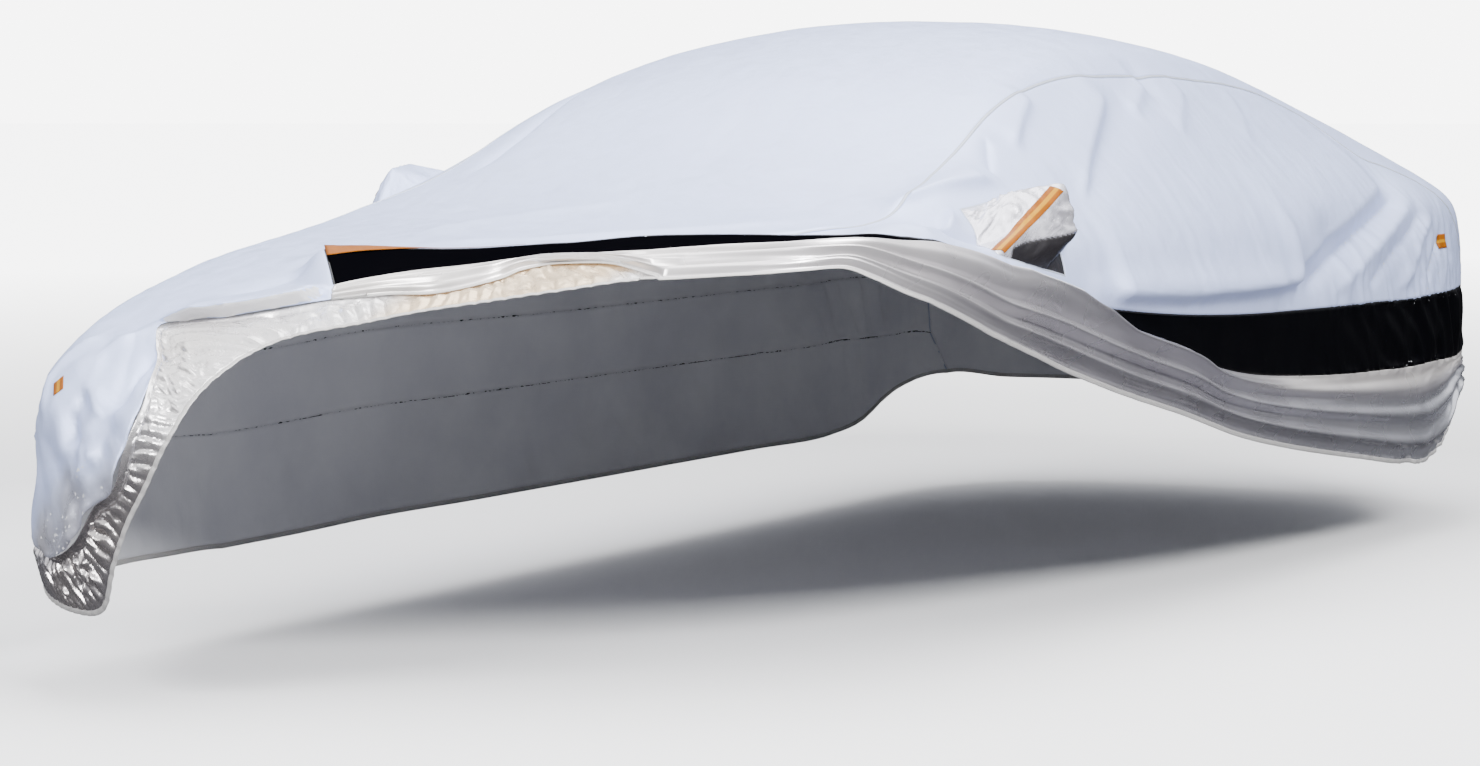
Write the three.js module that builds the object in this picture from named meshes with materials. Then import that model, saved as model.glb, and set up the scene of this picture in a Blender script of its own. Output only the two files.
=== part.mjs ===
// Fitted car cover, half drawn over a five-door fastback car, in millimetres.
// X runs across (the car's left side is +X), the car's front faces -Y, Z is up.
// The origin is on the cover's inner face, under the roof at the car's middle.
import * as THREE from 'three';

// ---- Driving sizes -------------------------------------------------------------------
const SHEET = 3; // cloth and its soft backing
const HALF_WIDTH = 965; // widest half width of the covered car
const SPINE = 1450; // half length of the straight run between the two rounded ends
const FRONT_END = { reach: 990, power: 3.6 }; // plan outline of the nose
const REAR_END = { reach: 955, power: 2.9 }; // plan outline of the tail
const SHOULDER = 85; // rounding where the top turns down into the walls
const TUCK = { from: 420, over: 300, depth: 50 }; // the walls lean in towards the hem
const SEAM_GAP = 0.16; // each sewn piece stops this short of the seam line
const RIM_FADE = 95; // how far the rise of the bunched edge reaches into the smooth cloth
const BINDING = { width: 12, thickness: 5, gap: 0.5 };
const STRIP = { thickness: 1, lift: 0.5 };

// Height of the covered car above the ground, from nose to tail
const PROFILE = [
  // station, centre, shoulder, edge, crown, blend
  [-2440, 680, 640, 0.90, 0.50, 0.10],
  [-2100, 830, 730, 0.90, 0.45, 0.10],
  [-1600, 955, 840, 0.88, 0.30, 0.10],
  [-1150, 1030, 910, 0.84, 0.22, 0.12],
  [-850, 1130, 940, 0.76, 0.18, 0.12],
  [-450, 1330, 950, 0.66, 0.14, 0.10],
  [0, 1440, 950, 0.60, 0.12, 0.08],
  [450, 1455, 950, 0.60, 0.12, 0.08],
  [950, 1395, 955, 0.60, 0.13, 0.08],
  [1450, 1270, 965, 0.64, 0.17, 0.10],
  [1900, 1130, 965, 0.74, 0.30, 0.12],
  [2200, 1045, 950, 0.84, 0.45, 0.12],
  [2450, 990, 930, 0.88, 0.50, 0.10],
];

// ---- Cutting lines -------------------------------------------------------------------
// A point of a cutting line is a place on the car seen from above: across, along. Past the
// plan outline the distance outwards is the drop down the wall. The rise is how far the
// cloth stands off the car there.
const BAND_TOP_LEFT = [
  // across, along, rise
  [1125, 2140, 0], [1205, 1880, 0], [1238, 1505, 0], [1223, 1120, 0], [1205, 653, 0],
  [1188, 223, 0], [1170, -78, 0], [1145, -362, 0], [1118, -560, 2], [1068, -740, 12],
  [1015, -940, 28], [980, -1045, 34], [934, -1152, 38], [890, -1270, 42], [819, -1440, 45],
  [710, -1520, 45], [560, -1567, 45], [399, -1621, 45], [291, -1683, 45], [200, -1715, 45],
  [0, -1762, 45], [-224, -1773, 45], [-353, -1769, 42],
];
const BAND_LOW_LEFT = [
  // across, along, rise
  [1275, 2262, 0], [1385, 1950, 0], [1425, 1508, 0], [1408, 1115, 0], [1375, 648, 0],
  [1338, 277, 0], [1300, 73, 2], [1258, -45, 4], [1182, -380, 8], [1088, -745, 16],
  [1035, -950, 28], [1002, -1055, 32], [957, -1163, 35], [914, -1282, 38], [842, -1462, 40],
  [728, -1548, 38], [580, -1605, 34], [430, -1672, 30], [320, -1728, 27], [235, -1757, 25],
  [126, -1790, 25], [-14, -1832, 25], [-123, -1892, 25], [-196, -1946, 25],
];
const HEM_LEFT = [
  // across, along, rise
  [1330, 2410, 0], [1410, 2205, 2], [1500, 2025, 4], [1634, 1850, 6], [1692, 1640, 6],
  [1685, 1410, 6], [1622, 1018, 6], [1542, 540, 6], [1480, 212, 6], [1402, -105, 6],
  [1338, -390, 6], [1268, -660, 6], [1222, -810, 6], [1138, -1032, 6], [1108, -1100, 6],
  [998, -1318, 6], [945, -1418, 6], [902, -1475, 6], [850, -1540, 6], [800, -1604, 6],
  [718, -1672, 6], [574, -1751, 6], [530, -1772, 6],
];
const HEM_FRONT = [
  // across, along, rise
  [530, -1772, 6], [462, -1802, 6], [364, -1874, 6], [221, -1954, 6], [74, -2022, 6],
  [-35, -2084, 6], [-137, -2131, 6], [-189, -2170, 6], [-228, -2228, 6], [-245, -2286, 6],
  [-266, -2387, 6], [-283, -2445, 6], [-325, -2506, 6], [-389, -2575, 6], [-462, -2633, 6],
  [-570, -2716, 6], [-690, -2788, 6], [-880, -2745, 4], [-1080, -2620, 2], [-1240, -2440, 0],
];
const GATHER_LINE = [
  // across, along, rise: the sewn line between the gathered edge and the cloth above it
  [518, -1758, 8], [381, -1723, 15], [301, -1730, 15], [238, -1748, 15], [190, -1795, 15],
  [175, -1849, 15], [133, -1896, 15], [70, -1939, 15], [-56, -1957, 15], [-168, -1997, 15],
  [-276, -2048, 15], [-375, -2087, 15], [-466, -2102, 15], [-542, -2123, 15],
  [-500, -2192, 15], [-472, -2232, 15], [-406, -2336, 15], [-385, -2409, 15],
  [-430, -2502, 15], [-494, -2578, 15], [-581, -2600, 14], [-707, -2651, 12],
  [-860, -2640, 10], [-1010, -2540, 5], [-1150, -2385, 0],
];
const SEAM_LEFT = [
  // across, along
  [893, 1715], [840, 1568], [797, 1440], [695, 1335], [648, 1163], [638, 940], [648, 668],
  [650, 350], [643, 143], [635, -130], [645, -368], [655, -490], [661, -560], [675, -685],
  [688, -830], [692, -870], [722, -1000], [728, -1073], [712, -1180], [660, -1310],
  [560, -1450], [430, -1580],
];
const CORNER_LEFT = [[893, 1715], [965, 1830], [1035, 1950], [1090, 2060], [1125, 2140]];
const SEAM_RIGHT = [
  // across, along
  [-893, 1715], [-740, 1420], [-660, 1200], [-638, 940], [-645, 700], [-648, 350],
  [-640, 0], [-652, -400], [-672, -600], [-715, -900], [-770, -1030], [-850, -1230],
  [-900, -1500], [-905, -1800], [-880, -2010],
];
const BAND_TOP_RIGHT = [
  // across, along
  [-1125, 2140], [-1205, 1880], [-1236, 1450], [-1226, 1000], [-1219, 500], [-1218, 0],
  [-1215, -350], [-1210, -620], [-1203, -920], [-1190, -1150], [-1150, -1450],
  [-1090, -1720], [-1010, -1960], [-925, -2155],
];
const BAND_LOW_RIGHT = [
  // across, along
  [-1275, 2262], [-1385, 1950], [-1427, 1450], [-1416, 1000], [-1408, 500], [-1408, 0],
  [-1408, -500], [-1392, -1000], [-1340, -1450], [-1270, -1780], [-1180, -2060],
  [-1075, -2300],
];
const HEM_RIGHT = [
  // across, along
  [-1330, 2410], [-1500, 2130], [-1650, 1830], [-1698, 1450], [-1686, 1000], [-1678, 500],
  [-1678, 0], [-1678, -500], [-1662, -1000], [-1605, -1450], [-1529, -1860],
  [-1388, -2251], [-1240, -2440],
];
const HEM_REAR = [
  // across, along
  [1330, 2410], [1130, 2665], [814, 2860], [406, 2966], [0, 2992], [-406, 2966],
  [-814, 2860], [-1130, 2665], [-1330, 2410],
];
// The line across the bonnet that the far front corner hangs from
const BONNET_LINE = [[-353, -1769], [-520, -1800], [-760, -1930], [-880, -2010]];

// The three long folds of the left skirt, from the rear end to the bonnet end
const SKIRT_FOLDS = [
  // station, then place and height of the upper, middle and lower fold
  [0.00, 0.25, 4, 0.50, 6, 0.80, 6],
  [0.06, 0.28, 8, 0.52, 14, 0.80, 14],
  [0.20, 0.22, 12, 0.48, 18, 0.78, 18],
  [0.30, 0.14, 22, 0.44, 22, 0.76, 20],
  [0.38, 0.11, 32, 0.42, 28, 0.76, 24],
  [0.47, 0.11, 38, 0.42, 30, 0.77, 24],
  [0.60, 0.13, 34, 0.45, 28, 0.78, 20],
  [0.70, 0.20, 26, 0.55, 22, 0.80, 12],
  [0.82, 0.30, 20, 0.70, 14, 0.85, 4],
  [0.92, 0.40, 18, 0.75, 6, 0.90, 0],
  [1.00, 0.50, 8, 0.80, 0, 0.90, 0],
];
const FOLD_WIDTH = 0.1;
// Where the left band's rows meet its rear and front ends
const BAND_SHARES = { rear: [0, 0.25, 0.5, 0.75, 1], front: [0, 0.16, 0.44, 0.72, 1] };

// Broad sags and creases of the smooth cloth
const CREASES = [
  // from across, from along, to across, to along, width, height
  [660, 325, 860, -430, 45, -10],
  [1085, -560, 1130, 560, 40, 12],
  [893, 1426, 1022, 870, 70, -16],
  [1022, 870, 1127, 549, 60, -14],
  [773, -755, 728, -1073, 45, 10],
  [-518, -2409, -470, -2253, 60, -18],
  [-640, -2560, -600, -2330, 60, -12],
];

// Mirror pockets: the cells of the side panel that each one covers, counted from the tail
// and from the seam, the four points that its cloth is pushed out to (X, Y, height), and the
// places of its strip, counted from the mirror's inner end
const POCKET_CELLS = 6;
const POCKET_LEFT = {
  from: [16, 5],
  cells: [6, 6],
  rearUpper: [948, -700, 1074],
  rearLower: [982, -703, 958],
  frontUpper: [872, -828, 1052],
  frontLower: [938, -875, 985],
  strip: [5.2, 4.7, 4.3, 4.1, 4, 3.9, 3.7, 3.2, 2.7],
};
const POCKET_RIGHT = {
  from: [17, 2],
  cells: [3, 3],
  rearUpper: [-978, -700, 1100],
  rearLower: [-1028, -703, 1000],
  frontUpper: [-895, -830, 1080],
  frontLower: [-985, -870, 1010],
  strip: [3.7, 3.2, 2.7],
};
// The strip bent over a pocket's ridge: its widths in front and under, and the cells over
// which the ridge's line and its flanks are measured
const MIRROR_STRIP = { front: 20, under: 8, lift: 0.9, lineReach: 0.1, flankReach: 0.25 };
const BAND_STRIP_CELLS = 4;
// Grid rows from the nose that each length of the top panel's cloth spans
const TOP_LENGTHS = { bonnet: [0, 12], roof: [12, 30], boot: [30, 38], tail: [38, 45] };
// Reflective tabs: across, along, width and height
const TAB_FRONT = [-700, -2310, 40, 26];
const TAB_REAR = [1080, 1690, 30, 40];

// How many cells each run of an edge is drawn with
const CELLS = {
  side: 16, pocket: 6, wing: 6, bonnet: 6, corner: 4, bandEnd: 2, skirtEnd: 4,
  foldEnd: 2, noseSpur: 4, noseBay: 3, noseFar: 5, farSide: 17, farPocket: 3, farWing: 9, farFront: 2, gatherEnd: 2,
};

// ---- The covered car's surface -------------------------------------------------------
/** Smooth value of one PROFILE column at a station. */
function profileAt(station, column) {
  const last = PROFILE.length - 1;
  const y = THREE.MathUtils.clamp(station, PROFILE[0][0], PROFILE[last][0]);
  let i = 0;
  while (i < last - 1 && y >= PROFILE[i + 1][0]) i += 1;
  const slopeAt = (j) => {
    const before = PROFILE[Math.max(j - 1, 0)];
    const after = PROFILE[Math.min(j + 1, last)];
    return (after[column] - before[column]) / (after[0] - before[0]);
  };
  const span = PROFILE[i + 1][0] - PROFILE[i][0];
  const t = (y - PROFILE[i][0]) / span;
  const start = (2 * t ** 3 - 3 * t ** 2 + 1) * PROFILE[i][column];
  const end = (3 * t ** 2 - 2 * t ** 3) * PROFILE[i + 1][column];
  const startSlope = (t ** 3 - 2 * t ** 2 + t) * span * slopeAt(i);
  const endSlope = (t ** 3 - t ** 2) * span * slopeAt(i + 1);
  return start + startSlope + end + endSlope;
}

/** How far towards the plan outline a place lies: 0 on the spine, 1 on the outline. */
function outlineShare(across, along) {
  const end = along < 0 ? FRONT_END : REAR_END;
  const over = Math.max(Math.abs(along) - SPINE, 0);
  const sum = (Math.abs(across) / HALF_WIDTH) ** end.power + (over / end.reach) ** end.power;
  return Math.max(sum ** (1 / end.power), 1e-9);
}

/** Height of the covered car above the ground, inside the plan outline. */
function heightAt(across, along) {
  const share = Math.min(outlineShare(across, along), 1);
  const [centre, shoulder, edge, crown, blend] = [1, 2, 3, 4, 5].map((k) => profileAt(along, k));
  const dome = 1 - crown * (share / edge) ** 2;
  const flank = (1 - crown) * (1 - (share - edge) / (0.985 - edge));
  const rise = 0.5 * (dome + flank) - 0.5 * Math.hypot(dome - flank, blend);
  return shoulder + (centre - shoulder) * rise;
}

/** The place on the covered car that a cutting-line point stands for. */
function bodyPoint(across, along) {
  const over = Math.max(Math.abs(along) - SPINE, 0) * Math.sign(along);
  const spine = along - over;
  const x = Math.abs(across) < 0.01 ? 0.01 : across;
  const radius = Math.hypot(x, over);
  const outline = radius / outlineShare(x, along);
  const past = radius - outline;
  const soft = Math.hypot(past, SHOULDER);
  const inward = (outline + (past - soft) / 2) / radius;
  const planX = x * inward;
  const planY = spine + over * inward;
  const z = heightAt(planX, planY) - (past + soft) / 2;
  const lean = THREE.MathUtils.clamp((TUCK.from - z) / TUCK.over, 0, 1) ** 2;
  const keep = 1 - (lean * TUCK.depth) / outline;
  return new THREE.Vector3(planX * keep, spine + (planY - spine) * keep, z);
}

/** Outward direction of the covered car's surface. */
function bodyNormal(across, along) {
  const step = 2;
  const dx = bodyPoint(across + step, along).sub(bodyPoint(across - step, along));
  const dy = bodyPoint(across, along + step).sub(bodyPoint(across, along - step));
  return dx.cross(dy).normalize();
}

// ---- Curves, edges and grids in cutting-line coordinates -----------------------------
/** A smooth curve through the rows of a table, as points (across, along, rise). */
function smoothCurve(rows) {
  const points = rows.map(([across, along, rise = 0]) => new THREE.Vector3(across, along, rise));
  return new THREE.CatmullRomCurve3(points, false, 'centripetal');
}

/** Evenly spaced points on a table's curve, from one row to another. */
function run(rows, from, to, cells) {
  const curve = smoothCurve(rows);
  const last = rows.length - 1;
  const fine = 24 * Math.abs(to - from);
  const dense = [];
  for (let k = 0; k <= fine; k += 1) {
    dense.push(curve.getPoint(THREE.MathUtils.lerp(from, to, k / fine) / last));
  }
  const lengths = [0];
  for (let k = 1; k <= fine; k += 1) {
    lengths.push(lengths[k - 1] + dense[k].distanceTo(dense[k - 1]));
  }
  const points = [];
  let k = 0;
  for (let i = 0; i <= cells; i += 1) {
    const goal = (lengths[fine] * i) / cells;
    while (k < fine - 1 && lengths[k + 1] < goal) k += 1;
    const share = (goal - lengths[k]) / (lengths[k + 1] - lengths[k]);
    points.push(dense[k].clone().lerp(dense[k + 1], Math.min(share, 1)));
  }
  return points;
}

/** Edges joined end to end, each starting where the one before stops. */
function join(...edges) {
  return edges.flatMap((edge, i) => (i === 0 ? edge : edge.slice(1)));
}

/** The same edge walked the other way. */
function reversed(edge) {
  return [...edge].reverse();
}

/** Each cell of an edge cut into equal parts. */
function refined(edge, parts) {
  const points = [edge[0]];
  for (let i = 1; i < edge.length; i += 1) {
    for (let k = 1; k <= parts; k += 1) points.push(edge[i - 1].clone().lerp(edge[i], k / parts));
  }
  return points;
}

/** Grid of points between four edges: start and end run across it, low and high along it. */
function fillBetween(low, high, start, end) {
  const columns = low.length - 1;
  const rows = start.length - 1;
  const grid = [];
  for (let i = 0; i <= columns; i += 1) {
    const u = i / columns;
    grid.push([]);
    for (let j = 0; j <= rows; j += 1) {
      const v = j / rows;
      const point = new THREE.Vector3();
      point.addScaledVector(low[i], 1 - v).addScaledVector(high[i], v);
      point.addScaledVector(start[j], 1 - u).addScaledVector(end[j], u);
      point.addScaledVector(low[0], -(1 - u) * (1 - v)).addScaledVector(low[columns], -u * (1 - v));
      point.addScaledVector(high[0], -(1 - u) * v).addScaledVector(high[columns], -u * v);
      grid[i].push(point);
    }
  }
  return grid;
}

/** Grid of a narrow ribbon: straight rungs between two edges, parted by shares of a rung. */
function rungsBetween(low, high, startShares, endShares) {
  return low.map((point, i) => startShares.map((share, j) => (
    point.clone().lerp(high[i], THREE.MathUtils.lerp(share, endShares[j], i / (low.length - 1)))
  )));
}

// ---- Rises, folds and creases --------------------------------------------------------
/** Distance from a place to a stretch between two others, and the share along it. */
function distanceToStretch(place, from, to) {
  const dx = to.x - from.x;
  const dy = to.y - from.y;
  const along = ((place.x - from.x) * dx + (place.y - from.y) * dy) / (dx * dx + dy * dy);
  const share = THREE.MathUtils.clamp(along, 0, 1);
  const distance = Math.hypot(place.x - from.x - dx * share, place.y - from.y - dy * share);
  return { distance, share };
}

/** Rise that the bunched edge passes on to the smooth cloth beside it. */
function rimRise(place, rim) {
  let best = { distance: Infinity, rise: 0 };
  for (let i = 1; i < rim.length; i += 1) {
    const { distance, share } = distanceToStretch(place, rim[i - 1], rim[i]);
    if (distance < best.distance) {
      best = { distance, rise: THREE.MathUtils.lerp(rim[i - 1].z, rim[i].z, share) };
    }
  }
  const fade = Math.max(1 - best.distance / RIM_FADE, 0);
  return best.rise * fade * fade * (3 - 2 * fade);
}

/** Sum of the broad creases at a place. */
function creaseRise(place) {
  let rise = 0;
  for (const [x0, y0, x1, y1, width, height] of CREASES) {
    const from = new THREE.Vector2(x0, y0);
    const { distance } = distanceToStretch(place, from, new THREE.Vector2(x1, y1));
    rise += height * Math.exp(-((distance / width) ** 2));
  }
  return rise;
}

/** Height of the skirt's long folds at a station (0 rear, 1 bonnet) and a share of its drop. */
function skirtFold(station, share) {
  let i = 0;
  while (i < SKIRT_FOLDS.length - 2 && station > SKIRT_FOLDS[i + 1][0]) i += 1;
  const [before, after] = [SKIRT_FOLDS[i], SKIRT_FOLDS[i + 1]];
  const t = (station - before[0]) / (after[0] - before[0]);
  let rise = 0;
  for (const column of [1, 3, 5]) {
    const place = THREE.MathUtils.lerp(before[column], after[column], t);
    const height = THREE.MathUtils.lerp(before[column + 1], after[column + 1], t);
    rise += height * Math.exp(-(((share - place) / FOLD_WIDTH) ** 2));
  }
  const start = THREE.MathUtils.smoothstep(share, 0, 0.08);
  return rise * start * THREE.MathUtils.smoothstep(1 - share, 0, 0.08);
}

// ---- Sheets of cloth -----------------------------------------------------------------
/** Whether every cell round a grid point belongs to the sheet. */
function isInside(i, j, has) {
  return has(i, j) && has(i - 1, j) && has(i, j - 1) && has(i - 1, j - 1);
}

/** Test for the cells of a grid that keep() picks. */
function cellTest(grid, keep) {
  return (i, j) => i >= 0 && j >= 0 && i < grid.length - 1 && j < grid[0].length - 1 && keep(i, j);
}

/**
 * Sheet on a grid of outer points. Inside, its thickness stands square to the cloth; at its
 * edges it follows edgeNormal, so that sewn pieces meet face to face.
 */
function thicken(outer, edgeNormal, keep = () => true) {
  const has = cellTest(outer, keep);
  const inner = outer.map((column, i) => column.map((point, j) => {
    const normal = edgeNormal(i, j);
    if (isInside(i, j, has)) {
      const du = outer[i + 1][j].clone().sub(outer[i - 1][j]);
      const dv = outer[i][j + 1].clone().sub(outer[i][j - 1]);
      const square = du.cross(dv).normalize();
      normal.copy(square.dot(normal) < 0 ? square.negate() : square);
    }
    return point.clone().addScaledVector(normal, -SHEET);
  }));
  return { outer, inner, keep };
}

/** Sheet hung over the car on a grid of cutting-line points (across, along, rise). */
function hang(grid, keep) {
  const outer = grid.map((column) => column.map((p) => (
    bodyPoint(p.x, p.y).addScaledVector(bodyNormal(p.x, p.y), p.z + creaseRise(p))
  )));
  return thicken(outer, (i, j) => bodyNormal(grid[i][j].x, grid[i][j].y), keep);
}

/** The open edges of a grid's cells, each with the step to the cell beside it. */
function openEdges(columns, rows, has) {
  const walls = [];
  for (let i = 0; i < columns; i += 1) {
    for (let j = 0; j < rows; j += 1) {
      if (!has(i, j)) continue;
      if (!has(i, j - 1)) walls.push({ from: [i, j], to: [i + 1, j], inside: [0, 1], kind: 0 });
      if (!has(i + 1, j)) walls.push({ from: [i + 1, j], to: [i + 1, j + 1], inside: [-1, 0], kind: 1 });
      if (!has(i, j + 1)) walls.push({ from: [i + 1, j + 1], to: [i, j + 1], inside: [0, -1], kind: 0 });
      if (!has(i - 1, j)) walls.push({ from: [i, j + 1], to: [i, j], inside: [1, 0], kind: 1 });
    }
  }
  return walls;
}

/** For each point on an open edge, the directions in which the seam gap draws it in. */
function edgePulls({ outer, inner }, walls) {
  const pulls = new Map();
  for (const { from, to, inside, kind } of walls) {
    const a = outer[from[0]][from[1]];
    const b = outer[to[0]][to[1]];
    const thick = a.clone().sub(inner[from[0]][from[1]]);
    const pull = b.clone().sub(a).cross(thick).normalize();
    const beside = outer[from[0] + inside[0]][from[1] + inside[1]];
    if (pull.dot(beside.clone().sub(a)) < 0) pull.negate();
    for (const [i, j] of [from, to]) {
      const key = `${i},${j}`;
      if (!pulls.has(key)) pulls.set(key, [[], []]);
      pulls.get(key)[kind].push(pull);
    }
  }
  return pulls;
}

/** Which of two points of a seam comes first, so that both pieces cut their walls alike. */
function comesFirst(a, b) {
  return a.y === b.y ? a.x < b.x : a.y < b.y;
}

/** Closed mesh of a sheet's cells, drawn in by the seam gap all round. */
function sheetGeometry(sheet) {
  const { outer, inner, keep } = sheet;
  const columns = outer.length - 1;
  const rows = outer[0].length - 1;
  const has = cellTest(outer, keep);
  const walls = openEdges(columns, rows, has);
  const pulls = edgePulls(sheet, walls);
  const positions = [];
  const indexOf = new Map();
  const vertex = (side, i, j) => {
    const key = `${side},${i},${j}`;
    if (!indexOf.has(key)) {
      const point = (side === 0 ? outer : inner)[i][j].clone();
      for (const group of pulls.get(`${i},${j}`) ?? []) {
        for (const pull of group) point.addScaledVector(pull, SEAM_GAP / group.length);
      }
      indexOf.set(key, positions.length / 3);
      positions.push(point.x, point.y, point.z);
    }
    return indexOf.get(key);
  };
  const triangles = [];
  const quad = (a, b, c, d) => triangles.push(a, b, c, a, c, d);
  for (let i = 0; i < columns; i += 1) {
    for (let j = 0; j < rows; j += 1) {
      if (!has(i, j)) continue;
      quad(vertex(0, i, j), vertex(0, i + 1, j), vertex(0, i + 1, j + 1), vertex(0, i, j + 1));
      quad(vertex(1, i, j), vertex(1, i, j + 1), vertex(1, i + 1, j + 1), vertex(1, i + 1, j));
    }
  }
  for (const { from, to } of walls) {
    const wall = [vertex(1, ...from), vertex(1, ...to), vertex(0, ...to), vertex(0, ...from)];
    const leads = comesFirst(outer[from[0]][from[1]], outer[to[0]][to[1]]);
    quad(...(leads ? [...wall.slice(3), ...wall.slice(0, 3)] : wall));
  }
  return closedGeometry(positions, triangles);
}

/** Geometry whose faces point outwards: turned over where its signed volume is negative. */
function closedGeometry(positions, triangles) {
  const corner = (k) => new THREE.Vector3().fromArray(positions, 3 * k);
  let volume = 0;
  for (let k = 0; k < triangles.length; k += 3) {
    const [a, b, c] = triangles.slice(k, k + 3).map(corner);
    volume += a.dot(b.cross(c));
  }
  if (volume < 0) {
    for (let k = 0; k < triangles.length; k += 3) {
      [triangles[k + 1], triangles[k + 2]] = [triangles[k + 2], triangles[k + 1]];
    }
  }
  const geometry = new THREE.BufferGeometry();
  geometry.setAttribute('position', new THREE.Float32BufferAttribute(positions, 3));
  geometry.setIndex(triangles);
  geometry.computeVertexNormals();
  return geometry;
}

// ---- Cut edges, shared by the pieces that meet there ---------------------------------
const straight = (from, to, cells) => refined([from.clone(), to.clone()], cells);
const first = (edge) => edge[0];
const last = (edge) => edge[edge.length - 1];
const mirrored = (edge) => edge.map((p) => new THREE.Vector3(-p.x, p.y, p.z));

const bandTopLeft = join(
  run(BAND_TOP_LEFT, 0, 9, CELLS.side),
  run(BAND_TOP_LEFT, 9, 11, CELLS.pocket),
  run(BAND_TOP_LEFT, 11, 17, CELLS.wing),
  run(BAND_TOP_LEFT, 17, 22, CELLS.bonnet),
);
const bandLowLeft = join(
  run(BAND_LOW_LEFT, 0, 9, CELLS.side),
  run(BAND_LOW_LEFT, 9, 11, CELLS.pocket),
  run(BAND_LOW_LEFT, 11, 17, CELLS.wing),
  run(BAND_LOW_LEFT, 17, 23, CELLS.bonnet),
);
const gatherLineBonnet = run(GATHER_LINE, 0, 9, CELLS.bonnet);
const gatherLineNose = join(
  run(GATHER_LINE, 9, 13, CELLS.noseSpur),
  run(GATHER_LINE, 13, 17, CELLS.noseBay),
  run(GATHER_LINE, 17, 24, CELLS.noseFar),
);
const hemLeft = join(
  run(HEM_LEFT, 0, 12, CELLS.side),
  run(HEM_LEFT, 12, 14, CELLS.pocket),
  run(HEM_LEFT, 14, 22, CELLS.wing - 1),
);
const hemFront = join(
  run(HEM_FRONT, 0, 6, CELLS.bonnet),
  run(HEM_FRONT, 6, 9, 2 * CELLS.noseSpur),
  run(HEM_FRONT, 9, 11, 2 * CELLS.noseBay),
  run(HEM_FRONT, 11, 19, 2 * CELLS.noseFar),
);
const hemRear = run(HEM_REAR, 0, 8, CELLS.bonnet + gatherLineNose.length - 1);
const gatherTip = straight(last(hemLeft), first(gatherLineBonnet), 1);

// The wedge-shaped front end of the left band and the end of the fold below it
const wedgeEnd = BAND_SHARES.front.map((share) => (
  last(bandTopLeft).clone().lerp(last(bandLowLeft), share)
));
const foldEnd = straight(last(bandLowLeft), first(gatherLineNose), CELLS.foldEnd);

// Rear ends of the left and right pieces, the right ones mirrored
const cornerLeft = run(CORNER_LEFT, 0, 4, CELLS.corner);
const bandEndLeft = straight(first(bandTopLeft), first(bandLowLeft), CELLS.bandEnd);
const skirtEndLeft = straight(first(bandLowLeft), first(hemLeft), CELLS.skirtEnd);

const seamRight = join(
  run(SEAM_RIGHT, 0, 8, CELLS.farSide),
  run(SEAM_RIGHT, 8, 9, CELLS.farPocket),
  run(SEAM_RIGHT, 9, 14, CELLS.farWing),
);
const bandTopRight = join(
  run(BAND_TOP_RIGHT, 0, 7, CELLS.farSide),
  run(BAND_TOP_RIGHT, 7, 8, CELLS.farPocket),
  run(BAND_TOP_RIGHT, 8, 13, CELLS.farWing),
);
const farCells = CELLS.farSide + CELLS.farPocket + CELLS.farWing;
const bandLowRight = run(BAND_LOW_RIGHT, 0, 11, farCells);
const hemRight = run(HEM_RIGHT, 0, 12, farCells);
const noseCorner = join(
  straight(last(seamRight), last(bandTopRight), CELLS.farFront),
  straight(last(bandTopRight), last(bandLowRight), CELLS.farFront),
  straight(last(bandLowRight), last(gatherLineNose), CELLS.farFront),
);
const gatherEnd = straight(last(gatherLineNose), last(hemRight), CELLS.gatherEnd);

// The smooth cloth beside the bunched edge rises with it: from the mirror to the wedge's
// end, and down the gathered edge to the far front corner
const rim = join(
  bandTopLeft.slice(CELLS.side - 2),
  wedgeEnd,
  foldEnd,
  gatherLineNose,
);
const raised = (edge) => edge.map((p) => new THREE.Vector3(p.x, p.y, rimRise(p, rim)));
const raisedInside = (grid, isEdge) => grid.map((column, i) => column.map((p, j) => (
  isEdge(i, j) ? p : new THREE.Vector3(p.x, p.y, rimRise(p, rim))
)));

const seamLeft = raised(join(
  run(SEAM_LEFT, 0, 12, CELLS.side),
  run(SEAM_LEFT, 12, 15, CELLS.pocket),
  run(SEAM_LEFT, 15, 21, CELLS.wing),
));
const panelTip = straight(last(seamLeft), bandTopLeft[CELLS.side + CELLS.pocket + CELLS.wing], 1);
const bonnetLine = raised(join(
  run(BONNET_LINE, 0, 2, CELLS.noseSpur),
  run(BONNET_LINE, 2, 3, CELLS.noseBay + CELLS.noseFar),
));

// ---- Panels --------------------------------------------------------------------------
/** Grid of a ribbon whose edges are sewn to its neighbours, with the rim's rise inside it. */
function smoothGrid(low, high, start, end) {
  const grid = fillBetween(low, high, start, end);
  const isEdge = (i, j) => i === 0 || j === 0 || i === low.length - 1 || j === start.length - 1;
  return raisedInside(grid, isEdge);
}

/** The top panel: roof, bonnet, boot and tail, with the far front corner hanging from it. */
function topPanelSheet() {
  const nearEdge = join(
    reversed(panelTip),
    reversed(seamLeft),
    cornerLeft,
    bandEndLeft,
    skirtEndLeft,
  );
  const farEdge = join(
    reversed(seamRight),
    mirrored(cornerLeft),
    mirrored(bandEndLeft),
    mirrored(skirtEndLeft),
  );
  const bonnetEdge = bandTopLeft.slice(-CELLS.bonnet - 1);
  const main = smoothGrid(nearEdge, farEdge, join(bonnetEdge, bonnetLine), hemRear);
  const cornerStart = join(wedgeEnd, foldEnd);
  const corner = smoothGrid(bonnetLine, gatherLineNose, cornerStart, noseCorner);
  const rows = [];
  for (let k = cornerStart.length - 1; k > 0; k -= 1) {
    rows.push([...bonnetEdge.slice(0, -1), ...corner.map((column) => column[k])]);
  }
  const cornerRows = rows.length;
  return hang([...rows, ...main], (i, j) => i >= cornerRows || j >= CELLS.bonnet);
}

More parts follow.
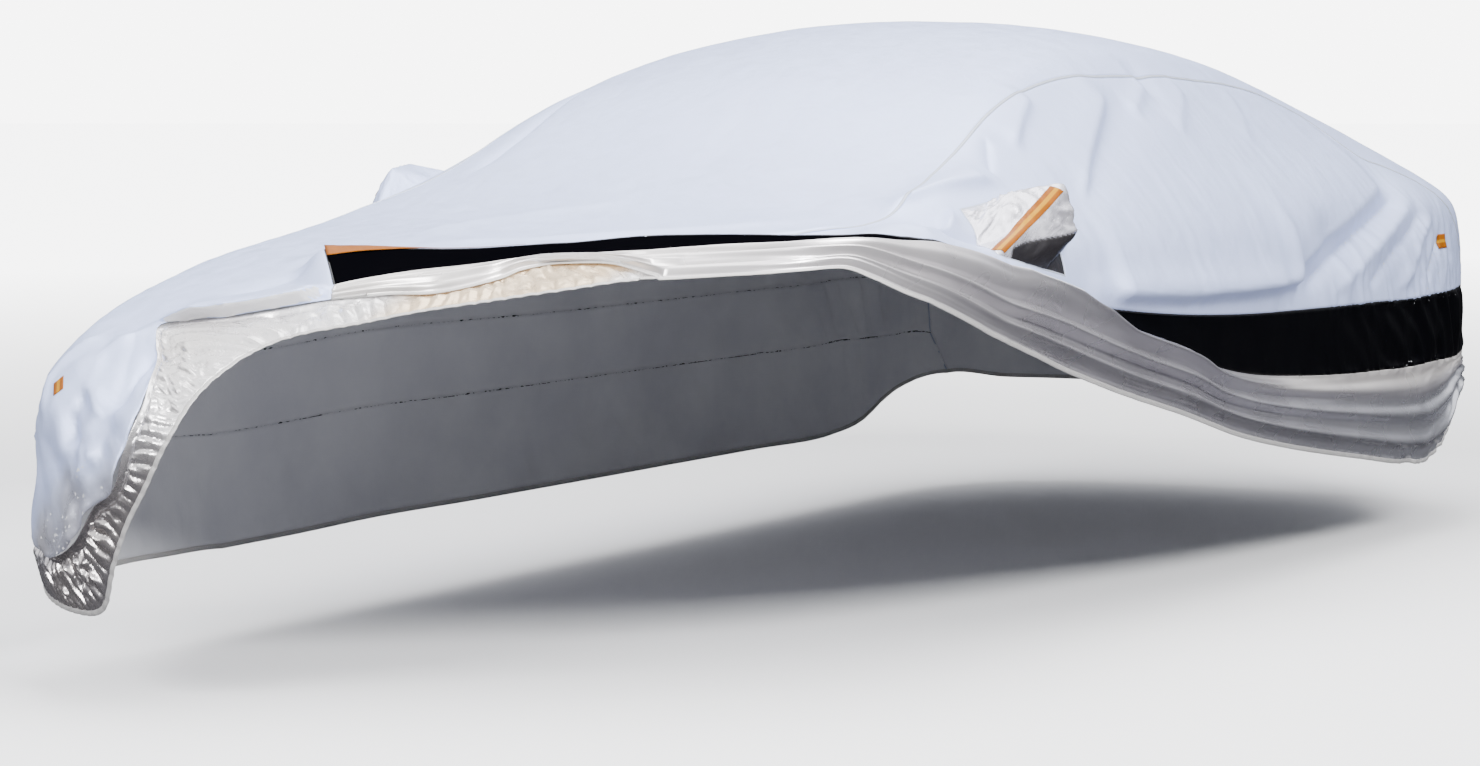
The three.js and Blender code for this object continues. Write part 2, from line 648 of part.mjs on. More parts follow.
/** Left skirt: its long folds are laid over the grid between the band and the hem. */
function leftSkirtSheet() {
  const high = join(hemLeft, gatherTip, gatherLineBonnet);
  const rows = 4 * CELLS.skirtEnd;
  const start = refined(skirtEndLeft, 4);
  const grid = fillBetween(bandLowLeft, high, start, refined(foldEnd, rows / CELLS.foldEnd));
  for (let i = 1; i < grid.length - 1; i += 1) {
    for (let j = 1; j < rows; j += 1) {
      grid[i][j].z += skirtFold(i / (grid.length - 1), j / rows);
    }
  }
  return hang(grid);
}

/** Whether a side panel's cell lies under its mirror pocket. */
function underPocket({ from, cells }, i, j) {
  return i >= from[0] && i < from[0] + cells[0] && j >= from[1] && j < from[1] + cells[1];
}

const topPanel = topPanelSheet();
const sideLeft = hang(
  smoothGrid(
    seamLeft,
    bandTopLeft.slice(0, -CELLS.bonnet),
    refined(cornerLeft, 3),
    refined(panelTip, 3 * CELLS.corner),
  ),
  (i, j) => !underPocket(POCKET_LEFT, i, j),
);
const sideRight = hang(
  smoothGrid(
    seamRight,
    bandTopRight,
    refined(mirrored(cornerLeft), 2),
    refined(noseCorner.slice(0, 3), 4),
  ),
  (i, j) => !underPocket(POCKET_RIGHT, i, j),
);
const bandLeft = hang(
  rungsBetween(bandTopLeft, bandLowLeft, BAND_SHARES.rear, BAND_SHARES.front),
);
const bandRight = hang(
  fillBetween(bandTopRight, bandLowRight, mirrored(bandEndLeft), noseCorner.slice(2, 5)),
);
const skirtLeft = leftSkirtSheet();
const skirtRight = hang(
  fillBetween(
    bandLowRight,
    hemRight,
    mirrored(skirtEndLeft),
    join(noseCorner.slice(4), gatherEnd),
  ),
);
const gather = hang(
  fillBetween(
    join(gatherLineBonnet, refined(gatherLineNose, 2)),
    hemFront,
    refined(reversed(gatherTip), 4),
    refined(gatherEnd, 2),
  ),
);

/**
 * Puts a sheet's edge points on the straight lines between every so many of them, where the
 * piece sewn there has fewer points. at(k) gives the grid place of the edge's k-th point.
 */
function straighten({ outer, inner }, at, count, parts) {
  for (const face of [outer, inner]) {
    for (let k = 0; k <= count; k += 1) {
      const start = Math.min(k - (k % parts), count - parts);
      const [i, j] = at(k);
      const [i0, j0] = at(start);
      const [i1, j1] = at(start + parts);
      face[i][j].lerpVectors(face[i0][j0], face[i1][j1], (k - start) / parts);
    }
  }
}

/** Straightens a sheet's rear end, or its front end, between every so many rows. */
function straightenEnd(sheet, atFront, parts) {
  const i = atFront ? sheet.outer.length - 1 : 0;
  straighten(sheet, (k) => [i, k], sheet.outer[0].length - 1, parts);
}

straightenEnd(sideLeft, false, 3);
straightenEnd(sideLeft, true, 3 * CELLS.corner);
straightenEnd(sideRight, false, 2);
straightenEnd(sideRight, true, 4);
straightenEnd(bandLeft, false, 2);
straightenEnd(skirtLeft, false, 4);
straightenEnd(skirtLeft, true, 8);
straightenEnd(gather, false, 4);
straightenEnd(gather, true, 2);
straighten(gather, (k) => [k + CELLS.bonnet, 0], 2 * (gatherLineNose.length - 1), 2);

// ---- Hem binding ---------------------------------------------------------------------
/** The hem all the way round: each point's outer and inner face and the cloth above it. */
function hemStations() {
  const stations = [];
  const add = ({ outer, inner }, i, j, iAbove, jAbove) => {
    stations.push({ outer: outer[i][j], inner: inner[i][j], above: outer[iAbove][jAbove] });
  };
  const leftRow = skirtLeft.outer[0].length - 1;
  for (let i = 0; i < hemLeft.length; i += 1) add(skirtLeft, i, leftRow, i, leftRow - 1);
  const gatherRow = gather.outer[0].length - 1;
  for (let i = 1; i < hemFront.length; i += 1) add(gather, i, gatherRow, i, gatherRow - 1);
  const rightRow = skirtRight.outer[0].length - 1;
  for (let i = farCells - 1; i >= 0; i -= 1) add(skirtRight, i, rightRow, i, rightRow - 1);
  const tail = topPanel.outer.length - 1;
  for (let j = hemRear.length - 2; j > 0; j -= 1) add(topPanel, tail, j, tail - 1, j);
  return stations;
}

/** Closed ring of four-sided section that edges the whole hem. */
function bindingGeometry() {
  const stations = hemStations();
  const count = stations.length;
  const positions = [];
  const triangles = [];
  stations.forEach(({ outer, inner, above }, k) => {
    const normal = outer.clone().sub(inner).normalize();
    const before = stations[(k + count - 1) % count].outer;
    const after = stations[(k + 1) % count].outer;
    const down = after.clone().sub(before).cross(normal).normalize();
    if (down.dot(above.clone().sub(outer)) > 0) down.negate();
    const middle = outer.clone().add(inner).multiplyScalar(0.5);
    for (const [drop, out] of [[0, 1], [1, 1], [1, -1], [0, -1]]) {
      const corner = middle.clone()
        .addScaledVector(down, BINDING.gap + drop * BINDING.width)
        .addScaledVector(normal, (out * BINDING.thickness) / 2);
      positions.push(corner.x, corner.y, corner.z);
    }
    for (let side = 0; side < 4; side += 1) {
      const a = 4 * k + side;
      const b = 4 * k + ((side + 1) % 4);
      const c = 4 * ((k + 1) % count) + ((side + 1) % 4);
      const d = 4 * ((k + 1) % count) + side;
      triangles.push(a, b, c, a, c, d);
    }
  });
  return closedGeometry(positions, triangles);
}

// ---- Mirror pockets ------------------------------------------------------------------
/** Place between the points of a grid, on the flat triangles that its cells are cut into. */
function between(grid, i, j) {
  const i0 = Math.min(Math.floor(i), grid.length - 2);
  const j0 = Math.min(Math.floor(j), grid[0].length - 2);
  const [u, v] = [i - i0, j - j0];
  const corner = u >= v ? grid[i0 + 1][j0] : grid[i0][j0 + 1];
  const [near, far] = u >= v ? [1 - u, v] : [1 - v, u];
  const point = grid[i0][j0].clone().multiplyScalar(near);
  return point.addScaledVector(corner, 1 - near - far).addScaledVector(grid[i0 + 1][j0 + 1], far);
}

/** A pocket's sheet: sewn to the hole in its side panel and pushed out over the mirror. */
function pocketSheet(panel, pocket) {
  const edgeAt = (face, i, j) => between(
    face,
    pocket.from[0] + (i * pocket.cells[0]) / POCKET_CELLS,
    pocket.from[1] + (j * pocket.cells[1]) / POCKET_CELLS,
  );
  const tips = [
    [pocket.rearUpper, pocket.rearLower],
    [pocket.frontUpper, pocket.frontLower],
  ];
  const isTip = (m, n) => m > 0 && m < 3 && n > 0 && n < 3;
  const net = [0, 1, 2, 3].map((m) => [0, 1, 2, 3].map((n) => (
    isTip(m, n) ? new THREE.Vector3(...tips[m - 1][n - 1]) : edgeAt(panel.outer, 2 * m, 2 * n)
  )));
  const outer = [];
  for (let i = 0; i <= POCKET_CELLS; i += 1) {
    outer.push([]);
    for (let j = 0; j <= POCKET_CELLS; j += 1) {
      const onEdge = i % POCKET_CELLS === 0 || j % POCKET_CELLS === 0;
      outer[i].push(onEdge ? edgeAt(panel.outer, i, j) : between(net, i / 2, j / 2));
    }
  }
  return thicken(outer, (i, j) => (
    edgeAt(panel.outer, i, j).sub(edgeAt(panel.inner, i, j)).normalize()
  ));
}

/** Whether a pocket's cell belongs to the black gusset under its lower edge. */
const isGusset = (i, j) => j >= 4 && i < 5;

/** Closed geometry of a loop of sections with the same number of points, capped at its ends. */
function loftGeometry(sections) {
  const size = sections[0].length;
  const positions = sections.flat().flatMap((p) => [p.x, p.y, p.z]);
  const triangles = [];
  for (let k = 1; k < sections.length; k += 1) {
    for (let side = 0; side < size; side += 1) {
      const next = (side + 1) % size;
      const [a, b] = [(k - 1) * size + side, (k - 1) * size + next];
      const [c, d] = [k * size + next, k * size + side];
      triangles.push(a, b, c, a, c, d);
    }
  }
  const end = (sections.length - 1) * size;
  for (let low = 0; low < size / 2 - 1; low += 1) {
    const high = size - 1 - low;
    triangles.push(low, high - 1, low + 1, low, high, high - 1);
    triangles.push(end + low, end + low + 1, end + high - 1, end + low, end + high - 1, end + high);
  }
  return closedGeometry(positions, triangles);
}

/** The reflective strip sewn along a pocket's ridge, from its foot to its upper tip. */
function ridgeStripGeometry({ outer, inner }, stations) {
  const { front, under, lift: start, lineReach, flankReach } = MIRROR_STRIP;
  const outward = between(outer, 3, 3).sub(between(inner, 3, 3));
  const sections = [];
  for (const s of stations) {
    const ridge = between(outer, s, s);
    const along = between(outer, s - lineReach, s - lineReach)
      .sub(between(outer, s + lineReach, s + lineReach));
    const flank = (towards, width) => {
      const apart = flankReach * towards;
      const reach = between(outer, s + apart, s - apart).sub(ridge).length();
      const step = (apart * width) / reach;
      const point = between(outer, s + step, s - step);
      const normal = point.clone().sub(ridge).cross(along).normalize();
      if (normal.dot(outward) < 0) normal.negate();
      return { point, normal };
    };
    const sides = [flank(1, front), { point: ridge, normal: null }, flank(-1, under)];
    sides[1].normal = sides[0].normal.clone().add(sides[2].normal).normalize();
    const face = (lift) => sides.map(({ point, normal }) => (
      point.clone().addScaledVector(normal, lift)
    ));
    sections.push([...face(start), ...face(start + STRIP.thickness).reverse()]);
  }
  return loftGeometry(sections);
}

// ---- Other reflective pieces ---------------------------------------------------------
/** Thin sheet that lies just above another sheet's outer face, over the cells of keep. */
function laidOn({ outer, inner }, keep) {
  const raise = (lift) => outer.map((column, i) => column.map((point, j) => (
    point.clone().addScaledVector(point.clone().sub(inner[i][j]).normalize(), lift)
  )));
  return { outer: raise(STRIP.lift + STRIP.thickness), inner: raise(STRIP.lift), keep };
}

/** Small flat tab on the facet of a sheet that is nearest to a place. */
function tabGeometry({ outer, keep }, [across, along, width, height]) {
  const goal = bodyPoint(across, along);
  const has = cellTest(outer, keep);
  let facet = null;
  for (let i = 0; i < outer.length - 1; i += 1) {
    for (let j = 0; j < outer[0].length - 1; j += 1) {
      for (const corner of has(i, j) ? [outer[i + 1][j], outer[i][j + 1]] : []) {
        const points = [outer[i][j], corner, outer[i + 1][j + 1]];
        const centre = new THREE.Vector3();
        for (const point of points) centre.addScaledVector(point, 1 / 3);
        const distance = centre.distanceTo(goal);
        if (!facet || distance < facet.distance) facet = { points, centre, distance };
      }
    }
  }
  const [a, b, c] = facet.points;
  const normal = b.clone().sub(a).cross(c.clone().sub(a)).normalize();
  if (normal.dot(bodyNormal(across, along)) < 0) normal.negate();
  const level = new THREE.Vector3(0, 0, 1).cross(normal).normalize();
  const up = normal.clone().cross(level);
  const corners = [[-1, -1], [1, -1], [1, 1], [-1, 1]];
  const ring = (lift) => corners.map(([x, y]) => facet.centre.clone()
    .addScaledVector(normal, lift)
    .addScaledVector(level, (x * width) / 2)
    .addScaledVector(up, (y * height) / 2));
  return loftGeometry([ring(STRIP.lift), ring(STRIP.lift + STRIP.thickness)]);
}

// ---- The cover -----------------------------------------------------------------------
const finish = (color, roughness, metalness) => (
  new THREE.MeshStandardMaterial({ color, roughness, metalness })
);
const silverCloth = finish('#cfd6e2', 0.42, 0.25);
const skirtCloth = finish('#a9a8ab', 0.34, 0.4);
const gatheredCloth = finish('#c9c2b8', 0.3, 0.4);
const blackCloth = finish('#0c0d12', 0.35, 0.05);
const edging = finish('#d8d4cc', 0.6, 0.05);
const reflectiveOrange = finish('#f39a1d', 0.4, 0.1);

const cover = new THREE.Group();
const addPiece = (name, geometry, material) => {
  const mesh = new THREE.Mesh(geometry, material);
  mesh.name = name;
  cover.add(mesh);
};
const withoutGusset = (i, j) => !isGusset(i, j);
const stripStart = bandLeft.outer.length - 1 - BAND_STRIP_CELLS;

for (const [length, [from, to]] of Object.entries(TOP_LENGTHS)) {
  const keep = (i, j) => i >= from && i < to && topPanel.keep(i, j);
  addPiece(`top_panel_${length}`, sheetGeometry({ ...topPanel, keep }), silverCloth);
}
addPiece('side_panel_left', sheetGeometry(sideLeft), silverCloth);
addPiece('side_panel_right', sheetGeometry(sideRight), silverCloth);
addPiece('band_left', sheetGeometry(bandLeft), blackCloth);
addPiece('band_right', sheetGeometry(bandRight), blackCloth);
addPiece('skirt_left', sheetGeometry(skirtLeft), skirtCloth);
addPiece('skirt_right', sheetGeometry(skirtRight), skirtCloth);
addPiece('front_gathered_edge', sheetGeometry(gather), gatheredCloth);
addPiece('hem_binding', bindingGeometry(), edging);
for (const [side, panel, pocket] of [
  ['left', sideLeft, POCKET_LEFT],
  ['right', sideRight, POCKET_RIGHT],
]) {
  const sheet = pocketSheet(panel, pocket);
  const pouch = sheetGeometry({ ...sheet, keep: withoutGusset });
  addPiece(`mirror_pocket_${side}`, pouch, silverCloth);
  addPiece(`mirror_gusset_${side}`, sheetGeometry({ ...sheet, keep: isGusset }), blackCloth);
  addPiece(`mirror_strip_${side}`, ridgeStripGeometry(sheet, pocket.strip), reflectiveOrange);
}
const bandStrip = laidOn(bandLeft, (i, j) => i >= stripStart && j === 0);
addPiece('band_strip_left', sheetGeometry(bandStrip), reflectiveOrange);
addPiece('reflective_tab_front', tabGeometry(topPanel, TAB_FRONT), reflectiveOrange);
addPiece('reflective_tab_rear', tabGeometry(sideLeft, TAB_REAR), reflectiveOrange);

// The origin lies on the cloth's inner face under the middle of the roof
cover.position.set(0, 0, SHEET - bodyPoint(0, 0).z);

export default cover;
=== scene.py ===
"""A fitted car cover, half drawn over the shape of a five-door fastback car.

Each sheet of cloth is a grid of cutting-line points (across, along, rise) hung over the
covered car's surface. The grids are those of the part's solids, drawn finer, with the
wrinkles, gathers, seams, stitching and tapes of the real cloth. Cutting lines are in
millimetres, as a pattern cutter writes them; everything placed in the scene is in metres.
"""

import logging
import math
from dataclasses import dataclass, field
from enum import Enum
from functools import lru_cache
from typing import Optional, Sequence, Union

import bpy
import numpy as np
from mathutils import Matrix, Vector


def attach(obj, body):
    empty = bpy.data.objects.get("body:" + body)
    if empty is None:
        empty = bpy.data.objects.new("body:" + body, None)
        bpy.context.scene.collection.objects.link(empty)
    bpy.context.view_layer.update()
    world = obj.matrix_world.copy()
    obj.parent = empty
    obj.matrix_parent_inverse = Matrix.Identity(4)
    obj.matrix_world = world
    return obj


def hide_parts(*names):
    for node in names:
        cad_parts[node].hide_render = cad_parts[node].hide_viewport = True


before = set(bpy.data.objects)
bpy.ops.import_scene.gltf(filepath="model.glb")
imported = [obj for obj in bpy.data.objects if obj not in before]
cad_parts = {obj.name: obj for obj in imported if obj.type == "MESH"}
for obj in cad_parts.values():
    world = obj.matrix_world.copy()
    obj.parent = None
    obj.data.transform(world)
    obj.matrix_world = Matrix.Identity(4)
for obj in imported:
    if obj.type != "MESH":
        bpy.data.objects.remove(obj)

logging.basicConfig(level=logging.INFO, format="%(message)s")
log = logging.getLogger("car_cover")

MM = 0.001
BODY = "root"
Array = np.ndarray
Grid = np.ndarray  # points by column and row
Socket = bpy.types.NodeSocket
Material = bpy.types.Material
Piece = bpy.types.Object

# ---- Driving sizes, in millimetres ----
CLOTH = 1.4  # thickness of the coated cloth itself
TAPE = 0.8  # thickness of the reflective tape
CREASE_DEPTH = 1.3  # how boldly the creases are drawn
RIM_FADE = 95.0  # how far the bunched edge's rise reaches into the smooth cloth
GROUND = -1434.5  # the ground, below the origin under the roof

# Height of the covered car above the ground, from nose to tail
PROFILE = np.array([
    # station, centre, shoulder, edge, crown, blend
    [-2440, 680, 640, 0.90, 0.50, 0.10],
    [-2100, 830, 730, 0.90, 0.45, 0.10],
    [-1600, 955, 840, 0.88, 0.30, 0.10],
    [-1150, 1030, 910, 0.84, 0.22, 0.12],
    [-850, 1130, 940, 0.76, 0.18, 0.12],
    [-450, 1330, 950, 0.66, 0.14, 0.10],
    [0, 1440, 950, 0.60, 0.12, 0.08],
    [450, 1455, 950, 0.60, 0.12, 0.08],
    [950, 1395, 955, 0.60, 0.13, 0.08],
    [1450, 1270, 965, 0.64, 0.17, 0.10],
    [1900, 1130, 965, 0.74, 0.30, 0.12],
    [2200, 1045, 950, 0.84, 0.45, 0.12],
    [2450, 990, 930, 0.88, 0.50, 0.10],
])

# ---- Cutting lines: across, along and, where the cloth stands off the car, rise ----
BAND_TOP_LEFT = [
    [1125, 2140, 0], [1205, 1880, 0], [1238, 1505, 0], [1223, 1120, 0], [1205, 653, 0],
    [1188, 223, 0], [1170, -78, 0], [1145, -362, 0], [1118, -560, 2], [1068, -740, 12],
    [1015, -940, 28], [980, -1045, 34], [934, -1152, 38], [890, -1270, 42], [819, -1440, 45],
    [710, -1520, 45], [560, -1567, 45], [399, -1621, 45], [291, -1683, 45], [200, -1715, 45],
    [0, -1762, 45], [-224, -1773, 45], [-353, -1769, 42],
]
BAND_LOW_LEFT = [
    [1275, 2262, 0], [1385, 1950, 0], [1425, 1508, 0], [1408, 1115, 0], [1375, 648, 0],
    [1338, 277, 0], [1300, 73, 2], [1258, -45, 4], [1182, -380, 8], [1088, -745, 16],
    [1035, -950, 28], [1002, -1055, 32], [957, -1163, 35], [914, -1282, 38],
    [842, -1462, 40], [728, -1548, 38], [580, -1605, 34], [430, -1672, 30],
    [320, -1728, 27], [235, -1757, 25], [126, -1790, 25], [-14, -1832, 25],
    [-123, -1892, 25], [-196, -1946, 25],
]
HEM_LEFT = [
    [1330, 2410, 0], [1410, 2205, 2], [1500, 2025, 4], [1634, 1850, 6], [1692, 1640, 6],
    [1685, 1410, 6], [1622, 1018, 6], [1542, 540, 6], [1480, 212, 6], [1402, -105, 6],
    [1338, -390, 6], [1268, -660, 6], [1222, -810, 6], [1138, -1032, 6], [1108, -1100, 6],
    [998, -1318, 6], [945, -1418, 6], [902, -1475, 6], [850, -1540, 6], [800, -1604, 6],
    [718, -1672, 6], [574, -1751, 6], [530, -1772, 6],
]
HEM_FRONT = [
    [530, -1772, 6], [462, -1802, 6], [364, -1874, 6], [221, -1954, 6], [74, -2022, 6],
    [-35, -2084, 6], [-137, -2131, 6], [-189, -2170, 6], [-228, -2228, 6], [-245, -2286, 6],
    [-266, -2387, 6], [-283, -2445, 6], [-325, -2506, 6], [-389, -2575, 6],
    [-462, -2633, 6], [-570, -2716, 6], [-690, -2788, 6], [-880, -2745, 4],
    [-1080, -2620, 2], [-1240, -2440, 0],
]
GATHER_LINE = [
    [518, -1758, 8], [381, -1723, 15], [301, -1730, 15], [238, -1748, 15], [190, -1795, 15],
    [175, -1849, 15], [133, -1896, 15], [70, -1939, 15], [-56, -1957, 15],
    [-168, -1997, 15], [-276, -2048, 15], [-375, -2087, 15], [-466, -2102, 15],
    [-542, -2123, 15], [-500, -2192, 15], [-472, -2232, 15], [-406, -2336, 15],
    [-385, -2409, 15], [-430, -2502, 15], [-494, -2578, 15], [-581, -2600, 14],
    [-707, -2651, 12], [-860, -2640, 10], [-1010, -2540, 5], [-1150, -2385, 0],
]
SEAM_LEFT = [
    [893, 1715], [840, 1568], [797, 1440], [695, 1335], [648, 1163], [638, 940], [648, 668],
    [650, 350], [643, 143], [635, -130], [645, -368], [655, -490], [661, -560], [675, -685],
    [688, -830], [692, -870], [722, -1000], [728, -1073], [712, -1180], [660, -1310],
    [560, -1450], [430, -1580],
]
CORNER_LEFT = [[893, 1715], [965, 1830], [1035, 1950], [1090, 2060], [1125, 2140]]
SEAM_RIGHT = [
    [-893, 1715], [-740, 1420], [-660, 1200], [-638, 940], [-645, 700], [-648, 350],
    [-640, 0], [-652, -400], [-672, -600], [-715, -900], [-770, -1030], [-850, -1230],
    [-900, -1500], [-905, -1800], [-880, -2010],
]
BAND_TOP_RIGHT = [
    [-1125, 2140], [-1205, 1880], [-1236, 1450], [-1226, 1000], [-1219, 500], [-1218, 0],
    [-1215, -350], [-1210, -620], [-1203, -920], [-1190, -1150], [-1150, -1450],
    [-1090, -1720], [-1010, -1960], [-925, -2155],
]
BAND_LOW_RIGHT = [
    [-1275, 2262], [-1385, 1950], [-1427, 1450], [-1416, 1000], [-1408, 500], [-1408, 0],
    [-1408, -500], [-1392, -1000], [-1340, -1450], [-1270, -1780], [-1180, -2060],
    [-1075, -2300],
]
HEM_RIGHT = [
    [-1330, 2410], [-1500, 2130], [-1650, 1830], [-1698, 1450], [-1686, 1000],
    [-1678, 500], [-1678, 0], [-1678, -500], [-1662, -1000], [-1605, -1450],
    [-1529, -1860], [-1388, -2251], [-1240, -2440],
]
HEM_REAR = [
    [1330, 2410], [1130, 2665], [814, 2860], [406, 2966], [0, 2992], [-406, 2966],
    [-814, 2860], [-1130, 2665], [-1330, 2410],
]
BONNET_LINE = [[-353, -1769], [-520, -1800], [-760, -1930], [-880, -2010]]

# The three long folds of the left skirt, from the rear end to the bonnet end
SKIRT_FOLDS = np.array([
    # station, then place and height of the upper, middle and lower fold
    [0.00, 0.25, 4, 0.50, 6, 0.80, 6],
    [0.06, 0.28, 8, 0.52, 15, 0.80, 15],
    [0.20, 0.22, 14, 0.48, 22, 0.78, 22],
    [0.30, 0.14, 26, 0.44, 28, 0.76, 26],
    [0.38, 0.11, 36, 0.42, 34, 0.76, 30],
    [0.47, 0.11, 40, 0.42, 36, 0.77, 30],
    [0.60, 0.13, 38, 0.45, 34, 0.78, 26],
    [0.70, 0.16, 26, 0.48, 26, 0.79, 18],
    [0.76, 0.18, 14, 0.52, 20, 0.82, 14],
    [0.82, 0.22, 9, 0.55, 16, 0.84, 12],
    [0.92, 0.24, 8, 0.58, 15, 0.86, 10],
    [1.00, 0.28, 6, 0.62, 10, 0.88, 6],
])
FOLD_WIDTH = 0.085  # share of the skirt's drop that each fold takes, from crest to foot
# How far the uppermost fold laps over the band: stations, then shares of the band's height
LAP = ((0.42, 0.44, 0.465, 0.60, 0.68, 0.76), (0, 0.4, 1.0, 1.1, 0.7, 0))
WEDGE_SHARES = (0, 0.16, 0.44, 0.72, 1)  # the band's rows at its wedge-shaped front end

# Where the long edges are marked, in cells of the solids along the left band's top
RIM_CELL = 14  # the bunched edge starts to lift the smooth cloth
TIP_CELL = 28  # the left side panel ends in its tip
BONNET_CELLS = 6  # the last cells, which the bonnet's cloth borders

# Broad sags and creases of the smooth cloth
BROAD_CREASES = [
    # from across, from along, to across, to along, width, height
    (660, 325, 860, -430, 45, -10),
    (1085, -560, 1130, 560, 40, 12),
    (893, 1426, 1022, 870, 70, -16),
    (1022, 870, 1127, 549, 60, -14),
    (773, -755, 728, -1073, 45, 10),
    (-518, -2409, -470, -2253, 60, -18),
    (-640, -2560, -600, -2330, 60, -12),
]


class Side(Enum):
    """A side of the car, with the sign of its X."""

    LEFT = 1
    RIGHT = -1

    @property
    def word(self) -> str:
        """The side's name as the part's nodes spell it."""
        return self.name.lower()


# ---- The covered car's surface ----
@dataclass(frozen=True)
class EndOutline:
    """Plan outline of a rounded end: how far it reaches, and how square it is."""

    reach: float
    power: float


@dataclass(frozen=True)
class CoveredCar:
    """Outer surface of the car under the cover. Lengths are in millimetres."""

    half_width: float = 965.0
    spine: float = 1450.0
    front: EndOutline = EndOutline(reach=990.0, power=3.6)
    rear: EndOutline = EndOutline(reach=955.0, power=2.9)
    shoulder: float = 85.0
    tuck_from: float = 420.0
    tuck_over: float = 300.0
    tuck_depth: float = 50.0

    def profile(self, along: Array) -> list:
        """Smooth values of the PROFILE columns.

        Args:
            along: stations.

        Returns:
            Centre, shoulder, edge, crown and blend at each.
        """
        stations = PROFILE[:, 0]
        last = len(stations) - 1
        y = np.clip(along, stations[0], stations[last])
        i = np.clip(np.searchsorted(stations, y, side="right") - 1, 0, last - 1)
        span = stations[i + 1] - stations[i]
        t = (y - stations[i]) / span
        before = np.maximum(np.arange(last + 1) - 1, 0)
        after = np.minimum(np.arange(last + 1) + 1, last)
        values = []
        for column in PROFILE.T[1:]:
            slope = (column[after] - column[before]) / (stations[after] - stations[before])
            start = (2 * t**3 - 3 * t**2 + 1) * column[i]
            end = (3 * t**2 - 2 * t**3) * column[i + 1]
            start_slope = (t**3 - 2 * t**2 + t) * span * slope[i]
            end_slope = (t**3 - t**2) * span * slope[i + 1]
            values.append(start + end + start_slope + end_slope)
        return values

    def outline_share(self, across: Array, along: Array) -> Array:
        """How near points lie to the plan outline.

        Args:
            across, along: points seen from above.

        Returns:
            0 on the spine and 1 on the plan outline.
        """
        front = along < 0
        power = np.where(front, self.front.power, self.rear.power)
        reach = np.where(front, self.front.reach, self.rear.reach)
        over = np.maximum(np.abs(along) - self.spine, 0)
        total = (np.abs(across) / self.half_width) ** power + (over / reach) ** power
        return np.maximum(total ** (1 / power), 1e-9)

    def height(self, across: Array, along: Array) -> Array:
        """Height above the ground.

        Args:
            across, along: points inside the plan outline.

        Returns:
            The height of each.
        """
        share = np.minimum(self.outline_share(across, along), 1)
        centre, shoulder, edge, crown, blend = self.profile(along)
        dome = 1 - crown * (share / edge) ** 2
        flank = (1 - crown) * (1 - (share - edge) / (0.985 - edge))
        rise = 0.5 * (dome + flank) - 0.5 * np.hypot(dome - flank, blend)
        return shoulder + (centre - shoulder) * rise

    def point(self, across: Array, along: Array) -> Array:
        """The places that cutting-line points stand for.

        Args:
            across, along: the points.

        Returns:
            Places from the origin under the roof.
        """
        over = np.maximum(np.abs(along) - self.spine, 0) * np.sign(along)
        spine = along - over
        x = np.where(np.abs(across) < 0.01, 0.01, across)
        radius = np.hypot(x, over)
        outline = radius / self.outline_share(x, along)
        past = radius - outline
        soft = np.hypot(past, self.shoulder)
        inward = (outline + (past - soft) / 2) / radius
        plan_x = x * inward
        plan_y = spine + over * inward
        z = self.height(plan_x, plan_y) - (past + soft) / 2
        lean = np.clip((self.tuck_from - z) / self.tuck_over, 0, 1) ** 2
        keep = 1 - lean * self.tuck_depth / outline
        return np.stack([plan_x * keep, spine + (plan_y - spine) * keep, z + GROUND], -1)

    def normal(self, across: Array, along: Array) -> Array:
        """Outward directions of the surface.

        Args:
            across, along: the points.

        Returns:
            A direction of length 1 for each.
        """
        step = 2.0
        dx = self.point(across + step, along) - self.point(across - step, along)
        dy = self.point(across, along + step) - self.point(across, along - step)
        return unit(np.cross(dx, dy))


CAR = CoveredCar()


def unit(vectors: Array) -> Array:
    """The same directions with length 1."""
    return vectors / np.maximum(np.linalg.norm(vectors, axis=-1, keepdims=True), 1e-12)


def smoothstep(value: Array, low: float = 0.0, high: float = 1.0) -> Array:
    """0 up to low, 1 from high, and smooth between."""
    t = np.clip((value - low) / (high - low), 0, 1)
    return t * t * (3 - 2 * t)


# ---- Curves, edges and grids of cutting-line points ----
def on_curve(rows: Array, places: Array) -> Array:
    """Points of the centripetal curve through some points.

    Args:
        rows: the points that it runs through.
        places: where its points are wanted, counted in rows.

    Returns:
        The points.
    """
    ends = np.vstack([2 * rows[0] - rows[1], rows, 2 * rows[-1] - rows[-2]])
    i = np.clip(np.floor(places).astype(int), 0, len(rows) - 2)
    t = (places - i)[:, None]
    p0, p1, p2, p3 = (ends[i + k] for k in range(4))
    d0, d1, d2 = (
        np.maximum(np.linalg.norm(b - a, axis=1, keepdims=True), 1e-8) ** 0.5
        for a, b in ((p0, p1), (p1, p2), (p2, p3))
    )
    leave = ((p1 - p0) / d0 - (p2 - p0) / (d0 + d1) + (p2 - p1) / d1) * d1
    reach = ((p2 - p1) / d1 - (p3 - p1) / (d1 + d2) + (p3 - p2) / d2) * d1
    square = -3 * p1 + 3 * p2 - 2 * leave - reach
    cube = 2 * p1 - 2 * p2 + leave + reach
    return p1 + leave * t + square * t**2 + cube * t**3


def run(rows: Sequence, first: int, last: int, cells: int) -> Array:
    """Evenly spaced points on a table's curve.

    Args:
        rows: the table.
        first, last: the rows between which it is drawn.
        cells: how many cells it is shared out into.

    Returns:
        The points, one more than the cells.
    """
    table = np.array([tuple(row) + (0,) * (3 - len(row)) for row in rows], float)
    dense = on_curve(table, np.linspace(first, last, 24 * (last - first) + 1))
    lengths = np.concatenate([[0], np.cumsum(np.linalg.norm(np.diff(dense, axis=0), axis=1))])
    goals = np.linspace(0, lengths[-1], cells + 1)
    return np.stack([np.interp(goals, lengths, dense[:, k]) for k in range(3)], -1)


